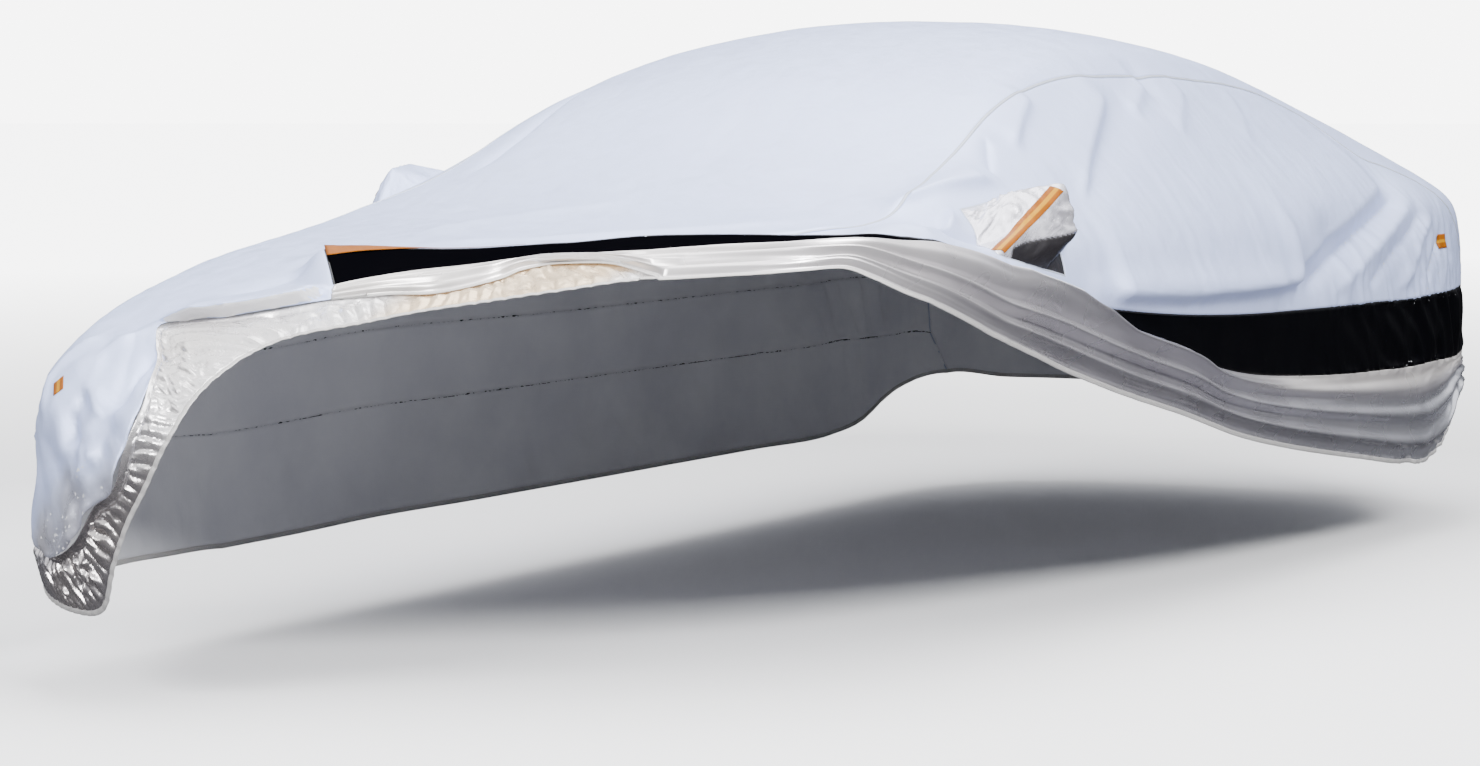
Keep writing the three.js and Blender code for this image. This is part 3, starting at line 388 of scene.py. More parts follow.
def join(*edges: Array) -> Array:
    """Edges joined end to end, each starting where the one before stops."""
    return np.vstack([edges[0]] + [edge[1:] for edge in edges[1:]])


def straight(start: Array, end: Array, cells: int) -> Array:
    """Evenly spaced points on a straight cutting line."""
    return start + (end - start) * np.linspace(0, 1, cells + 1)[:, None]


def resampled(edge: Array, cells: int) -> Array:
    """The same edge with another number of cells, evenly shared out by point."""
    places = np.linspace(0, len(edge) - 1, cells + 1)
    return np.stack([np.interp(places, range(len(edge)), column) for column in edge.T], -1)


def mirrored(edge: Array) -> Array:
    """The same edge on the car's other side."""
    return edge * [-1, 1, 1]


def fill_between(low: Array, high: Array, start: Array, end: Array) -> Grid:
    """Grid between four edges.

    Args:
        low, high: the edges along it.
        start, end: the edges across it.

    Returns:
        Points by column and row.
    """
    u = np.linspace(0, 1, len(low))[:, None, None]
    v = np.linspace(0, 1, len(start))[None, :, None]
    along = low[:, None] * (1 - v) + high[:, None] * v
    across = start[None] * (1 - u) + end[None] * u
    corners = (1 - u) * ((1 - v) * low[0] + v * high[0]) + u * ((1 - v) * low[-1] + v * high[-1])
    return along + across - corners


# ---- Noise and creases ----
def gradient_noise(x: Array, y: Array, seed: int) -> Array:
    """Smooth noise that changes over a distance of 1.

    Args:
        x, y: the points.
        seed: which noise it is.

    Returns:
        Values between about -1 and 1.
    """
    x0 = np.floor(x).astype(np.int64)
    y0 = np.floor(y).astype(np.int64)
    fx = x - x0
    fy = y - y0
    ease_x = fx**3 * (fx * (fx * 6 - 15) + 10)
    ease_y = fy**3 * (fy * (fy * 6 - 15) + 10)

    def corner(i: int, j: int) -> Array:
        """Slope that a corner of each cell gives.

        Args:
            i, j: the corner, 0 or 1 each way.

        Returns:
            Its share at each point.
        """
        mix = ((x0 + i) * 374761393 + (y0 + j) * 668265263 + seed * 974634777) & 0xFFFFFFFF
        mix = ((mix ^ (mix >> 13)) * 1274126177) & 0xFFFFFFFF
        angle = ((mix ^ (mix >> 16)) & 0xFFFF) / 0xFFFF * 2 * math.pi
        return np.cos(angle) * (fx - i) + np.sin(angle) * (fy - j)

    low = corner(0, 0) * (1 - ease_x) + corner(1, 0) * ease_x
    high = corner(0, 1) * (1 - ease_x) + corner(1, 1) * ease_x
    return 1.6 * (low * (1 - ease_y) + high * ease_y)


def swells(x: Array, y: Array, seed: int, octaves: int = 3) -> Array:
    """Soft uneven surface: noise of several sizes added up.

    Args:
        x, y: the points.
        seed, octaves: which noise it is, and how many sizes.

    Returns:
        Heights, about 0 on average.
    """
    total = np.zeros(np.broadcast(x, y).shape)
    for k in range(octaves):
        total += gradient_noise(x * 2**k, y * 2**k, seed + k) / 2**k
    return total


def crumples(x: Array, y: Array, seed: int, octaves: int = 3) -> Array:
    """Crumpled surface: flats that meet in sharp ridges.

    Args:
        x, y: the points.
        seed, octaves: which noise it is, and how many sizes.

    Returns:
        Heights, about 0 on average.
    """
    warp_x = gradient_noise(x * 0.7, y * 0.7, seed + 50)
    warp_y = gradient_noise(x * 0.7, y * 0.7, seed + 60)
    total = np.zeros(np.broadcast(x, y).shape)
    for k in range(octaves):
        scale = 1.9**k
        field_k = gradient_noise((x + 0.6 * warp_x) * scale, (y + 0.6 * warp_y) * scale, seed + k)
        sign = 1 if k % 2 == 0 else -1
        total += sign * (0.45 - np.abs(field_k)) / 1.7**k
    return total


def rolls(place: Array, power: float = 0.7) -> Array:
    """Rounded rolls with narrow valleys, one for each 1 of place, about 0 on average."""
    return np.abs(np.sin(math.pi * place)) ** power - 0.7


def distance_to_path(x: Array, y: Array, path: Array) -> tuple:
    """Distance of points to a path, with its side, and the place along the path.

    Args:
        x, y: the points.
        path: its corners, at least two, as rows.

    Returns:
        The signed distance, positive on the path's left, and the share of its length.
    """
    best = np.full(np.shape(x), np.inf)
    signed = np.zeros(np.shape(x))
    share = np.zeros(np.shape(x))
    steps = np.linalg.norm(np.diff(path[:, :2], axis=0), axis=1)
    starts = np.concatenate([[0], np.cumsum(steps)])
    for k, step in enumerate(steps):
        dx, dy = (path[k + 1, :2] - path[k, :2]) / step
        ex = x - path[k, 0]
        ey = y - path[k, 1]
        along = np.clip(ex * dx + ey * dy, 0, step)
        distance = np.hypot(ex - along * dx, ey - along * dy)
        nearer = distance < best
        best = np.where(nearer, distance, best)
        signed = np.where(nearer, distance * np.where(dx * ey - dy * ex < 0, -1, 1), signed)
        share = np.where(nearer, (starts[k] + along) / starts[-1], share)
    return signed, share


@dataclass(frozen=True)
class Crease:
    """A fold line in the cloth. Each side falls away from its crest at its own width."""

    path: tuple  # corners: across, along
    height: float
    left: float  # width on the path's left
    right: float  # width on its right
    fade: float = 0.2  # share of its length over which it starts and stops

    def rise(self, x: Array, y: Array) -> Array:
        """Height that the crease adds.

        Args:
            x, y: the points.

        Returns:
            The height at each.
        """
        signed, share = distance_to_path(x, y, np.array(self.path, float))
        width = np.where(signed > 0, self.left, self.right)
        crest = np.exp(-np.abs(signed / width) ** 1.3)
        ends = smoothstep(share, 0, self.fade) * smoothstep(1 - share, 0, self.fade)
        return CREASE_DEPTH * self.height * crest * ends


# Sharp creases of the smooth cloth
SHARP_CREASES = [Crease(*row) for row in (
    # ledge of slack cloth above the left band
    (((1096, -500), (1122, -101), (1128, 300), (1126, 650)), 27, 120, 13, 0.06),
    # creases hanging from the roof seam
    (((655, -300), (700, -440), (746, -560)), 11, 10, 40),
    (((668, 90), (735, -90), (805, -278), (882, -451)), 17, 10, 60),
    (((662, 325), (690, 240), (721, 137)), 12, 20, 30),
    (((668, 527), (720, 430), (773, 307)), 6, 12, 40),
    (((655, 850), (720, 800), (800, 690)), 4, 14, 50),
    # slack that hangs from the rear corner
    (((893, 1426), (960, 1150), (1022, 870), (1120, 520)), 20, 26, 130, 0.12),
    (((930, 1490), (1010, 1190), (1075, 950), (1170, 640)), -20, 34, 34, 0.15),
    (((950, 1540), (1040, 1290), (1110, 1080), (1190, 840)), 10, 24, 30),
    (((975, 1590), (1070, 1400), (1130, 1230), (1205, 1060)), -9, 20, 30),
    (((1000, 1640), (1080, 1500), (1160, 1420), (1215, 1300)), 9, 16, 32),
    (((1040, 1730), (1120, 1640), (1210, 1560)), -9, 18, 24),
    # folds that run from the left mirror to the windscreen and the bonnet
    (((792, -735), (768, -850), (735, -1000), (715, -1110)), 17, 12, 60),
    (((700, -600), (735, -660), (775, -725)), -6, 10, 14),
    (((800, -960), (860, -1100), (860, -1250), (740, -1430)), 20, 40, 12),
    (((900, -900), (905, -1050), (860, -1190)), -12, 18, 18),
    (((700, -1200), (640, -1330), (520, -1470), (330, -1590)), 10, 18, 40),
    # windscreen and bonnet: long soft folds
    (((-584, -280), (-576, -658), (-600, -930)), -7, 14, 22),
    (((60, -1114), (-120, -1260), (-352, -1506)), 9, 70, 90),
    (((620, -1150), (380, -1380), (60, -1560), (-300, -1640)), 8, 35, 90),
    (((250, -1560), (0, -1650), (-300, -1680), (-560, -1700)), 8, 30, 50),
    (((-353, -1769), (-470, -1930), (-560, -2080)), -7, 40, 40),
    # far front corner
    (((-480, -2190), (-500, -2270), (-470, -2400)), -10, 18, 22),
    (((-560, -2130), (-620, -2230), (-600, -2330), (-500, -2420)), 14, 24, 60),
    (((-590, -2330), (-640, -2400), (-660, -2470)), -16, 60, 26),
    (((-520, -2480), (-600, -2530), (-660, -2560)), 16, 18, 50),
    (((-700, -2120), (-760, -2260), (-740, -2400)), 11, 40, 25),
    (((-780, -2400), (-730, -2480), (-700, -2560)), -12, 40, 40),
    (((-850, -2200), (-900, -2330), (-880, -2480)), -9, 35, 35),
)]


def crease_rise(x: Array, y: Array) -> Array:
    """Sum of all the broad and sharp creases.

    Args:
        x, y: the points.

    Returns:
        The height at each.
    """
    rise = np.zeros(np.shape(x))
    for x0, y0, x1, y1, width, height in BROAD_CREASES:
        distance, _ = distance_to_path(x, y, np.array([[x0, y0], [x1, y1]], float))
        rise += height * np.exp(-((distance / width) ** 2))
    for crease in SHARP_CREASES:
        rise += crease.rise(x, y)
    return rise


def smooth_cloth_rise(x: Array, y: Array) -> Array:
    """Soft unevenness of the smooth cloth, the same on both sides of every seam.

    Args:
        x, y: the points.

    Returns:
        The height at each.
    """
    sag = 2.2 * swells(x / 420, y / 520, 11)
    soft = 1.1 * crumples(x / 190, y / 260, 21)
    # hanging wrinkles on the walls, drawn out down the drop
    wall = smoothstep(np.abs(x), 700, 980)
    hanging = 2.4 * wall * crumples(x / 330, y / 95, 31, 2)
    # slack cloth at the rear corner above the left band
    slack = smoothstep(x, 900, 1150) * smoothstep(y, 650, 1150) * smoothstep(-y, -2100, -1700)
    rear = 12.0 * slack * crumples((x + 0.4 * y) / 260, (y - 0.3 * x) / 75, 41)
    # cloth that bunches towards the far front corner, most of all down at its hem
    nose = smoothstep(-y, 1950, 2350) * smoothstep(-x, 150, 420)
    corner = 17.0 * nose * crumples(x / 190, y / 230, 51, 2)
    crushed = 13.0 * crushed_share(x, y) * crumples(x / 105, y / 80, 55)
    return sag + soft + hanging + rear + corner + crushed


def crushed_share(x: Array, y: Array) -> Array:
    """How far the cloth of the far front corner is crushed: 0 above, 1 down at its hem."""
    depth = -y + 60 * gradient_noise(x / 150, y / 150, 58)
    return smoothstep(depth, 2480, 2620) * smoothstep(-x, 350, 480)


# ---- Shared cutting edges, drawn FINE times finer than in the solids ----
def rim_rise(points: Array, rim: Array) -> Array:
    """Rise that the bunched edge passes on to the smooth cloth beside it.

    Args:
        points: cutting-line points.
        rim: the bunched edge, with its rise.

    Returns:
        The rise at each point.
    """
    x, y = points[..., 0], points[..., 1]
    signed, share = distance_to_path(x, y, rim)
    steps = np.linalg.norm(np.diff(rim[:, :2], axis=0), axis=1)
    shares = np.concatenate([[0], np.cumsum(steps)]) / np.sum(steps)
    fade = np.clip(1 - np.abs(signed) / RIM_FADE, 0, None)
    return np.interp(share, shares, rim[:, 2]) * fade * fade * (3 - 2 * fade)


def skirt_fold_rise(station: Array, share: Array) -> Array:
    """Height of the left skirt's long folds.

    Args:
        station: 0 at the rear end and 1 at the bonnet end.
        share: share of the drop, from the band down.

    Returns:
        The height at each point.
    """
    columns = [np.interp(station, SKIRT_FOLDS[:, 0], column) for column in SKIRT_FOLDS.T[1:]]
    rise = np.zeros(np.broadcast(station, share).shape)
    for place, height in zip(columns[::2], columns[1::2]):
        rise += height * np.exp(-(((share - place) / FOLD_WIDTH) ** 2))
    return rise * smoothstep(share, 0, 0.08) * smoothstep(1 - share, 0, 0.08)


# The edges that run along the tables: each stretch is (first row, last row, cells)
CURVED_EDGES = {
    "band_top_left": (BAND_TOP_LEFT, (0, 9, 16), (9, 11, 6), (11, 17, 6), (17, 22, 6)),
    "band_low_left": (BAND_LOW_LEFT, (0, 9, 16), (9, 11, 6), (11, 17, 6), (17, 23, 6)),
    "gather_bonnet": (GATHER_LINE, (0, 9, 6)),
    "gather_nose": (GATHER_LINE, (9, 13, 4), (13, 17, 3), (17, 24, 5)),
    "hem_left": (HEM_LEFT, (0, 12, 16), (12, 14, 6), (14, 22, 5)),
    "hem_front": (HEM_FRONT, (0, 6, 6), (6, 9, 8), (9, 11, 6), (11, 19, 10)),
    "hem_rear": (HEM_REAR, (0, 8, 18)),
    "corner_left": (CORNER_LEFT, (0, 4, 4)),
    "seam_left": (SEAM_LEFT, (0, 12, 16), (12, 15, 6), (15, 21, 6)),
    "seam_right": (SEAM_RIGHT, (0, 8, 17), (8, 9, 3), (9, 14, 9)),
    "band_top_right": (BAND_TOP_RIGHT, (0, 7, 17), (7, 8, 3), (8, 13, 9)),
    "band_low_right": (BAND_LOW_RIGHT, (0, 11, 29)),
    "hem_right": (HEM_RIGHT, (0, 12, 29)),
    "bonnet_line": (BONNET_LINE, (0, 2, 4), (2, 3, 8)),
}


@dataclass
class CutEdges:
    """The edges that the sheets share, each with so many points for a cell of the solids."""

    fine: int
    edges: dict = field(default_factory=dict)

    def __post_init__(self) -> None:
        """Draws every edge, the seams beside the bunched rim last, since it lifts them."""
        n, e = self.fine, self.edges
        for name, (rows, *stretches) in CURVED_EDGES.items():
            e[name] = join(*[run(rows, first, last, cells * n) for first, last, cells in stretches])
        top, low = e["band_top_left"], e["band_low_left"]
        corners = [top[-1] * (1 - share) + low[-1] * share for share in WEDGE_SHARES]
        e["wedge_end"] = join(*[straight(a, b, n) for a, b in zip(corners, corners[1:])])
        self.rim = join(
            top[RIM_CELL * n :], e["wedge_end"],
            straight(low[-1], e["gather_nose"][0], 2 * n), e["gather_nose"],
        )[::2]
        for name in ("seam_left", "bonnet_line"):
            e[name] = self.raised(e[name])
        for name, start, end, cells in (
            ("gather_tip", e["hem_left"][-1], e["gather_bonnet"][0], 1),
            ("fold_end", low[-1], e["gather_nose"][0], 2),
            ("band_end_left", top[0], low[0], 2),
            ("skirt_end_left", low[0], e["hem_left"][0], 4),
            ("nose_side", e["seam_right"][-1], e["band_top_right"][-1], 2),
            ("nose_band", e["band_top_right"][-1], e["band_low_right"][-1], 2),
            ("nose_skirt", e["band_low_right"][-1], e["gather_nose"][-1], 2),
            ("gather_end", e["gather_nose"][-1], e["hem_right"][-1], 2),
            ("panel_tip", e["seam_left"][-1], top[TIP_CELL * n], 1),
        ):
            e[name] = straight(start, end, cells * n)

    def __getitem__(self, name: str) -> Array:
        """The edge of that name."""
        return self.edges[name]

    def raised(self, points: Array) -> Array:
        """The same points with the rise that the rim gives them."""
        return np.concatenate([points[..., :2], rim_rise(points, self.rim)[..., None]], -1)

    def smooth_grid(self, low: Array, high: Array, start: Array, end: Array) -> Grid:
        """Grid between sewn edges, with the rim's rise inside it.

        Args:
            low, high, start, end: the edges.

        Returns:
            The grid.
        """
        grid = fill_between(low, high, start, end)
        grid[1:-1, 1:-1] = self.raised(grid[1:-1, 1:-1])
        return grid


# ---- Hanging a sheet ----
@dataclass
class HungSheet:
    """A sheet hung over the car.

    Attributes:
        outer: its outer face, by column and row, in millimetres.
        chart: across and along of each point.
        edge_normal: the car's outward direction there, which sewn edges follow.
        keep: which cells exist, or None for all.
        tint: place from 0 to 1 in the cloth's range of colours, at each point.
    """

    outer: Grid
    chart: Grid
    edge_normal: Grid
    keep: Optional[Array] = None
    tint: Optional[Array] = None

    @property
    def normal(self) -> Grid:
        """Directions square to the cloth, outwards.

        Returns:
            The direction at each point.
        """
        du = np.gradient(self.outer, axis=0)
        dv = np.gradient(self.outer, axis=1)
        square = unit(np.cross(du, dv))
        facing = np.sum(square * self.edge_normal, -1, keepdims=True)
        return square * np.where(facing < 0, -1, 1)


def evened(normal: Grid, cells: tuple) -> Grid:
    """Outward directions averaged over the cells around, but not at the sheet's edges.

    Args:
        normal: the directions.
        cells: how many cells to each side, along and down.

    Returns:
        The averaged directions.
    """
    average, inside = normal, 1.0
    for axis, reach in enumerate(cells):
        places = np.arange(normal.shape[axis])
        average = sum(
            np.take(average, np.clip(places + step, 0, places[-1]), axis=axis)
            for step in range(-reach, reach + 1)
        )
        edge = np.minimum(places, places[-1] - places) / (reach + 1)
        inside = inside * smoothstep(edge, 0, 1.5).reshape((-1, 1) if axis == 0 else (1, -1))
    return unit(normal + (unit(average) - normal) * inside[..., None])


def hang(
    grid: Grid, extra: Optional[Array] = None, keep: Optional[Array] = None,
    smooth: Union[float, Array] = 1.0, even: tuple = (0, 0),
) -> HungSheet:
    """Hangs a grid of cutting-line points over the car.

    Args:
        grid: across, along and rise of each point.
        extra: rise of this sheet's own folds, on top of what all the cloth shares.
        keep: which cells exist.
        smooth: share of the smooth cloth's own unevenness that this sheet shows.
        even: cells over which the body's outward direction is averaged, along and down.

    Returns:
        The sheet.
    """
    x, y, rise = grid[..., 0], grid[..., 1], grid[..., 2].copy()
    rise += crease_rise(x, y) + smooth * smooth_cloth_rise(x, y)
    if extra is not None:
        rise += extra
    normal = CAR.normal(x, y)
    if any(even):
        normal = evened(normal, even)
    outer = CAR.point(x, y) + normal * rise[..., None]
    return HungSheet(outer, grid[..., :2], normal, keep)


# ---- Meshes ----
def new_piece(name: str, verts: Array, faces: list, uvs: Array) -> Piece:
    """A smooth-shaded object in metres.

    Args:
        name: the piece's name.
        verts, faces: its points in millimetres, and the corners of each face.
        uvs: where each point lies on the flat cloth, in millimetres.

    Returns:
        The object.
    """
    mesh = bpy.data.meshes.new(name)
    mesh.from_pydata((verts * MM).tolist(), [], faces)
    mesh.polygons.foreach_set("use_smooth", [True] * len(mesh.polygons))
    layer = mesh.uv_layers.new(name="cloth")
    index = np.empty(len(mesh.loops), dtype=np.int32)
    mesh.loops.foreach_get("vertex_index", index)
    layer.data.foreach_set("uv", (uvs[index] * MM).astype(np.float32).ravel())
    mesh.update()
    piece = bpy.data.objects.new(name, mesh)
    bpy.context.scene.collection.objects.link(piece)
    log.info("%s: %d points, %d faces", name, len(verts), len(faces))
    return piece


def finished(piece: Piece, nodes: Sequence, slot: str, *materials: Material) -> Piece:
    """Gives a piece its materials, parents it to the car's body and hides the solids it stands for.

    Args:
        piece: the piece.
        nodes: the solids that it stands for.
        slot: not used.
        materials: its outer material, and its inner one.

    Returns:
        The same piece.
    """
    for material in materials:
        piece.data.materials.append(material)
    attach(piece, BODY)
    if nodes:
        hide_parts(*nodes)
    return piece


def sheet_piece(name: str, sheet: HungSheet, thickness: float = CLOTH) -> Piece:
    """Closed mesh of a hung sheet. Its inner face takes the second material.

    Args:
        name: the piece's name.
        sheet: the sheet's outer face.
        thickness: how thick it is, inwards from that face.

    Returns:
        The piece.
    """
    columns, rows = sheet.outer.shape[0] - 1, sheet.outer.shape[1] - 1
    keep = np.ones((columns, rows), bool) if sheet.keep is None else sheet.keep
    inner = sheet.outer - sheet.normal * thickness
    index = np.arange((columns + 1) * (rows + 1)).reshape(columns + 1, rows + 1)
    offset = index.size
    i, j = np.nonzero(keep)
    a, b, c, d = index[i, j], index[i + 1, j], index[i + 1, j + 1], index[i, j + 1]
    outer_faces = np.stack([a, b, c, d], -1)
    inner_faces = np.stack([d, c, b, a], -1) + offset
    padded = np.pad(keep, 1)
    walls = []
    for step, pair in (((0, -1), (a, b)), ((1, 0), (b, c)), ((0, 1), (c, d)), ((-1, 0), (d, a))):
        open_side = ~padded[i + 1 + step[0], j + 1 + step[1]]
        start, end = pair[0][open_side], pair[1][open_side]
        walls.append(np.stack([end, start, start + offset, end + offset], -1))
    faces = np.vstack([outer_faces, inner_faces, *walls])
    middle = sheet.outer[columns // 2, rows // 2]
    row = sheet.outer[min(columns // 2 + 1, columns), rows // 2] - middle
    column = sheet.outer[columns // 2, min(rows // 2 + 1, rows)] - middle
    if np.dot(np.cross(row, column), sheet.edge_normal[columns // 2, rows // 2]) < 0:
        faces = faces[:, ::-1]
    verts = np.vstack([sheet.outer.reshape(-1, 3), inner.reshape(-1, 3)])
    uvs = np.vstack([sheet.chart.reshape(-1, 2)] * 2)
    used = np.zeros(len(verts), bool)
    used[faces.ravel()] = True
    renumber = np.cumsum(used) - 1
    piece = new_piece(name, verts[used], renumber[faces].tolist(), uvs[used])
    lining = np.zeros(len(faces), dtype=np.int32)
    lining[len(outer_faces) : len(outer_faces) + len(inner_faces)] = 1
    piece.data.polygons.foreach_set("material_index", lining)
    if sheet.tint is not None:
        tint = np.broadcast_to(sheet.tint, sheet.outer.shape[:2]).ravel()
        layer = piece.data.attributes.new("tint", "FLOAT", "POINT")
        layer.data.foreach_set("value", np.concatenate([tint, tint])[used].astype(np.float32))
    return piece


def ribbon_piece(
    name: str, middle: Array, side: Array, up: Array, profile: Sequence,
    closed: bool = False,
) -> Piece:
    """Strip of constant section along a line.

    Args:
        name: the piece's name.
        middle: points of the line.
        side, up: unit directions across the strip and off the cloth at each point.
        profile: the section's corners (across, up), in millimetres, in order round it.
        closed: whether the line runs back to its start.

    Returns:
        The piece.
    """
    section = np.array(profile, float)
    size, count = len(section), len(middle)
    verts = (
        middle[:, None]
        + side[:, None] * section[None, :, :1]
        + up[:, None] * section[None, :, 1:]
    ).reshape(-1, 3)
    faces = []
    spans = count if closed else count - 1
    for k in range(spans):
        base, after = k * size, ((k + 1) % count) * size
        for corner in range(size):
            turn = (corner + 1) % size
            faces.append((base + corner, base + turn, after + turn, after + corner))
    if not closed:
        faces.append(tuple(reversed(range(size))))
        faces.append(tuple(range((count - 1) * size, count * size)))
    steps = np.linalg.norm(np.diff(middle, axis=0), axis=1)
    along = np.repeat(np.concatenate([[0], np.cumsum(steps)]), size)
    across = np.tile(section[:, 0], count)
    return new_piece(name, verts, faces, np.stack([along, across], -1))


def line_frame(middle: Array, up: Array, closed: bool = False) -> Array:
    """Directions across a line.

    Args:
        middle, up: its points, and the outward directions there.
        closed: whether it runs back to its start.

    Returns:
        Directions square to the line and to up.
    """
    if closed:
        tangent = np.roll(middle, -1, axis=0) - np.roll(middle, 1, axis=0)
    else:
        tangent = np.gradient(middle, axis=0)
    return unit(np.cross(unit(tangent), up))


def rounded_section(width: float, low: float, high: float, points: int = 10) -> list:
    """Flat oval section.

    Args:
        width: its width.
        low, high: its heights above the line.
        points: how many corners it has.

    Returns:
        The corners (across, up), in order round it.
    """
    section = []
    for k in range(points):
        angle = 2 * math.pi * k / points
        x, y = math.cos(angle), math.sin(angle)
        across = math.copysign(abs(x) ** 0.6, x) * width / 2
        rise = math.copysign(abs(y) ** 0.7, y) * (high - low) / 2
        section.append((across, (low + high) / 2 + rise))
    return section


# ---- Materials ----
def linear(code: str) -> tuple:
    """Linear colour, with alpha, of an sRGB hex code."""
    values = [int(code[k : k + 2], 16) / 255 for k in (1, 3, 5)]
    return (*(v / 12.92 if v <= 0.04045 else ((v + 0.055) / 1.055) ** 2.4 for v in values), 1.0)


@dataclass
class NodeSheet:
    """The node tree of a material or of the surroundings."""

    owner: bpy.types.ID

    def add(
        self, kind: str, links: Union[dict, Sequence] = (), out: Union[int, str, None] = None,
        stops: Sequence = (), **settings: object
    ) -> Union[bpy.types.Node, Socket]:
        """Adds a node.

        Args:
            kind: the shader node's type.
            links: its inputs by name or number, or the first ones in order. Each is a value or
                another node's output.
            out: the output to hand back.
            stops: the stops of a colour ramp, as (place, colour code).
            settings: its own properties.

        Returns:
            That output, or the node where no output is named.
        """
        tree = self.owner.node_tree
        node = tree.nodes.new("ShaderNode" + kind)
        for key, value in settings.items():
            setattr(node, key, value)
        named = links if isinstance(links, dict) else dict(enumerate(links))
        for key, value in named.items():
            if isinstance(value, Socket):
                tree.links.new(value, node.inputs[key])
            else:
                node.inputs[key].default_value = value
        if stops:
            elements = node.color_ramp.elements
            while len(elements) < len(stops):
                elements.new(0.5)
            for element, (place, code) in zip(elements, stops):
                element.position = place
                element.color = linear(code)
        return node if out is None else node.outputs[out]


def new_material(name: str) -> NodeSheet:
    """An empty node material.

    Args:
        name: the material's name.

    Returns:
        Its nodes, ready for more.
    """
    material = bpy.data.materials.new(name)
    material.use_nodes = True
    material.node_tree.nodes.clear()
    return NodeSheet(material)


def wave_scale(pitch: float) -> float:
    """Scale at which a band texture repeats every pitch metres."""
    return 2 * math.pi / (20 * pitch)


@dataclass(frozen=True)
class CoatedCloth:
    """Woven polyester with a coating, laminated to a soft backing. Lengths are in metres.

    Attributes:
        colour, shade: colour of the cloth, and of the slightly darker patches in it.
        metal: how much the coating reflects like metal.
        roughness: how dull the coating is, with its spread.
        crumple: height of the crumpling too fine for the mesh, its size and its detail.
        crease: height of the thin lines that folding leaves, and their spacing.
        weave: pitch of the weave, drawn wider than real threads of 0.3 mm so that it shows,
            and its height.
        tints: other colours of the cloth, as (place of the mesh's tint, colour).
        far_metal, far_roughness, far_gloss: the same where the mesh's tint is 1.
    """

    name: str
    colour: str
    shade: str
    metal: float
    roughness: float
    roughness_spread: float = 0.08
    crumple: float = 0.0012
    crumple_size: float = 0.05
    crumple_detail: float = 5.0
    crease: float = 0.0008
    crease_size: float = 0.11
    weave: float = 0.0009
    weave_height: float = 0.00006
    sheen: float = 0.0
    gloss: float = 0.5
    tints: tuple = ()
    far_metal: float = 0.0
    far_roughness: float = 0.3
    far_gloss: float = 0.5
    patch_size: float = 0.35

    def build(self) -> Material:
        """Makes the material.

        Returns:
            The material.
        """
        sheet = new_material(self.name)
        place = sheet.add("UVMap", out="UV", uv_map="cloth")
        patches = sheet.add(
            "TexNoise", {"Vector": place, "Scale": 1 / self.patch_size, "Detail": 4.0},
            "Fac",
        )
        dimples = sheet.add(
            "TexNoise",
            {
                "Vector": place, "Scale": 1 / self.crumple_size, "Detail": self.crumple_detail,
                "Roughness": 0.55, "Distortion": 0.16 * self.crumple_detail,
            },
            "Fac",
        )
        bump = self.bump(sheet, place, dimples)
        colour = sheet.add(
            "ValToRGB", (patches,), "Color", [(0.35, self.shade), (0.62, self.colour)]
        )
        metal, gloss = self.metal, self.gloss
        low, high = self.roughness - self.roughness_spread, self.roughness + self.roughness_spread
        rough = sheet.add("MapRange", (dimples, 0.3, 0.7, low, high), "Result")
        if self.tints:
            tint = sheet.add("Attribute", out="Fac", attribute_name="tint")
            darker = sheet.add("MapRange", (patches, 0.35, 0.62, 0.25, 0.0), "Result")
            tinted = sheet.add("ValToRGB", (tint,), "Color", self.tints)
            colour = sheet.add(
                "Mix", {0: darker, 6: tinted, 7: linear(self.shade)}, 2, data_type="RGBA"
            )
            metal, gloss, shift = (
                sheet.add("MapRange", (tint, 0.0, 1.0, near, far), "Result")
                for near, far in (
                    (self.metal, self.far_metal), (self.gloss, self.far_gloss),
                    (0.0, self.far_roughness - self.roughness),
                )
            )
            rough = sheet.add("Math", (rough, shift), "Value", operation="ADD")
        shader = sheet.add(
            "BsdfPrincipled",
            {
                "Base Color": colour, "Metallic": metal, "Roughness": rough, "Normal": bump,
                "Specular IOR Level": gloss, "Sheen Weight": self.sheen,
            },
            "BSDF",
        )
        sheet.add("OutputMaterial", {"Surface": shader})
        return sheet.owner

    def bump(self, sheet: NodeSheet, place: Socket, dimples: Socket) -> Optional[Socket]:
        """Relief of the cloth: soft dimples, the lines that folding leaves, and the weave.

        Args:
            sheet: the material's nodes.
            place: where on the cloth a point lies.
            dimples: height of the dimples.

        Returns:
            The bumped direction, or None for even cloth.
        """
        lines = sheet.add(
            "TexVoronoi",
            {"Vector": place, "Scale": 1 / self.crease_size, "Detail": 2.0},
            "Distance", feature="DISTANCE_TO_EDGE",
        )
        folded = sheet.add("MapRange", (lines, 0.0, 0.16, 0.0, 1.0), "Result")
        threads = [
            sheet.add(
                "TexWave", {"Vector": place, "Scale": wave_scale(self.weave)}, "Fac",
                bands_direction=direction,
            )
            for direction in "XY"
        ]
        crossing = sheet.add("Math", threads, "Value", operation="MULTIPLY")
        bump = None
        for height, distance in (
            (dimples, self.crumple), (folded, self.crease), (crossing, self.weave_height)
        ):
            if distance:
                links = {"Height": height, "Distance": distance}
                if bump is not None:
                    links["Normal"] = bump
                bump = sheet.add("Bump", links, "Normal")
        return bump


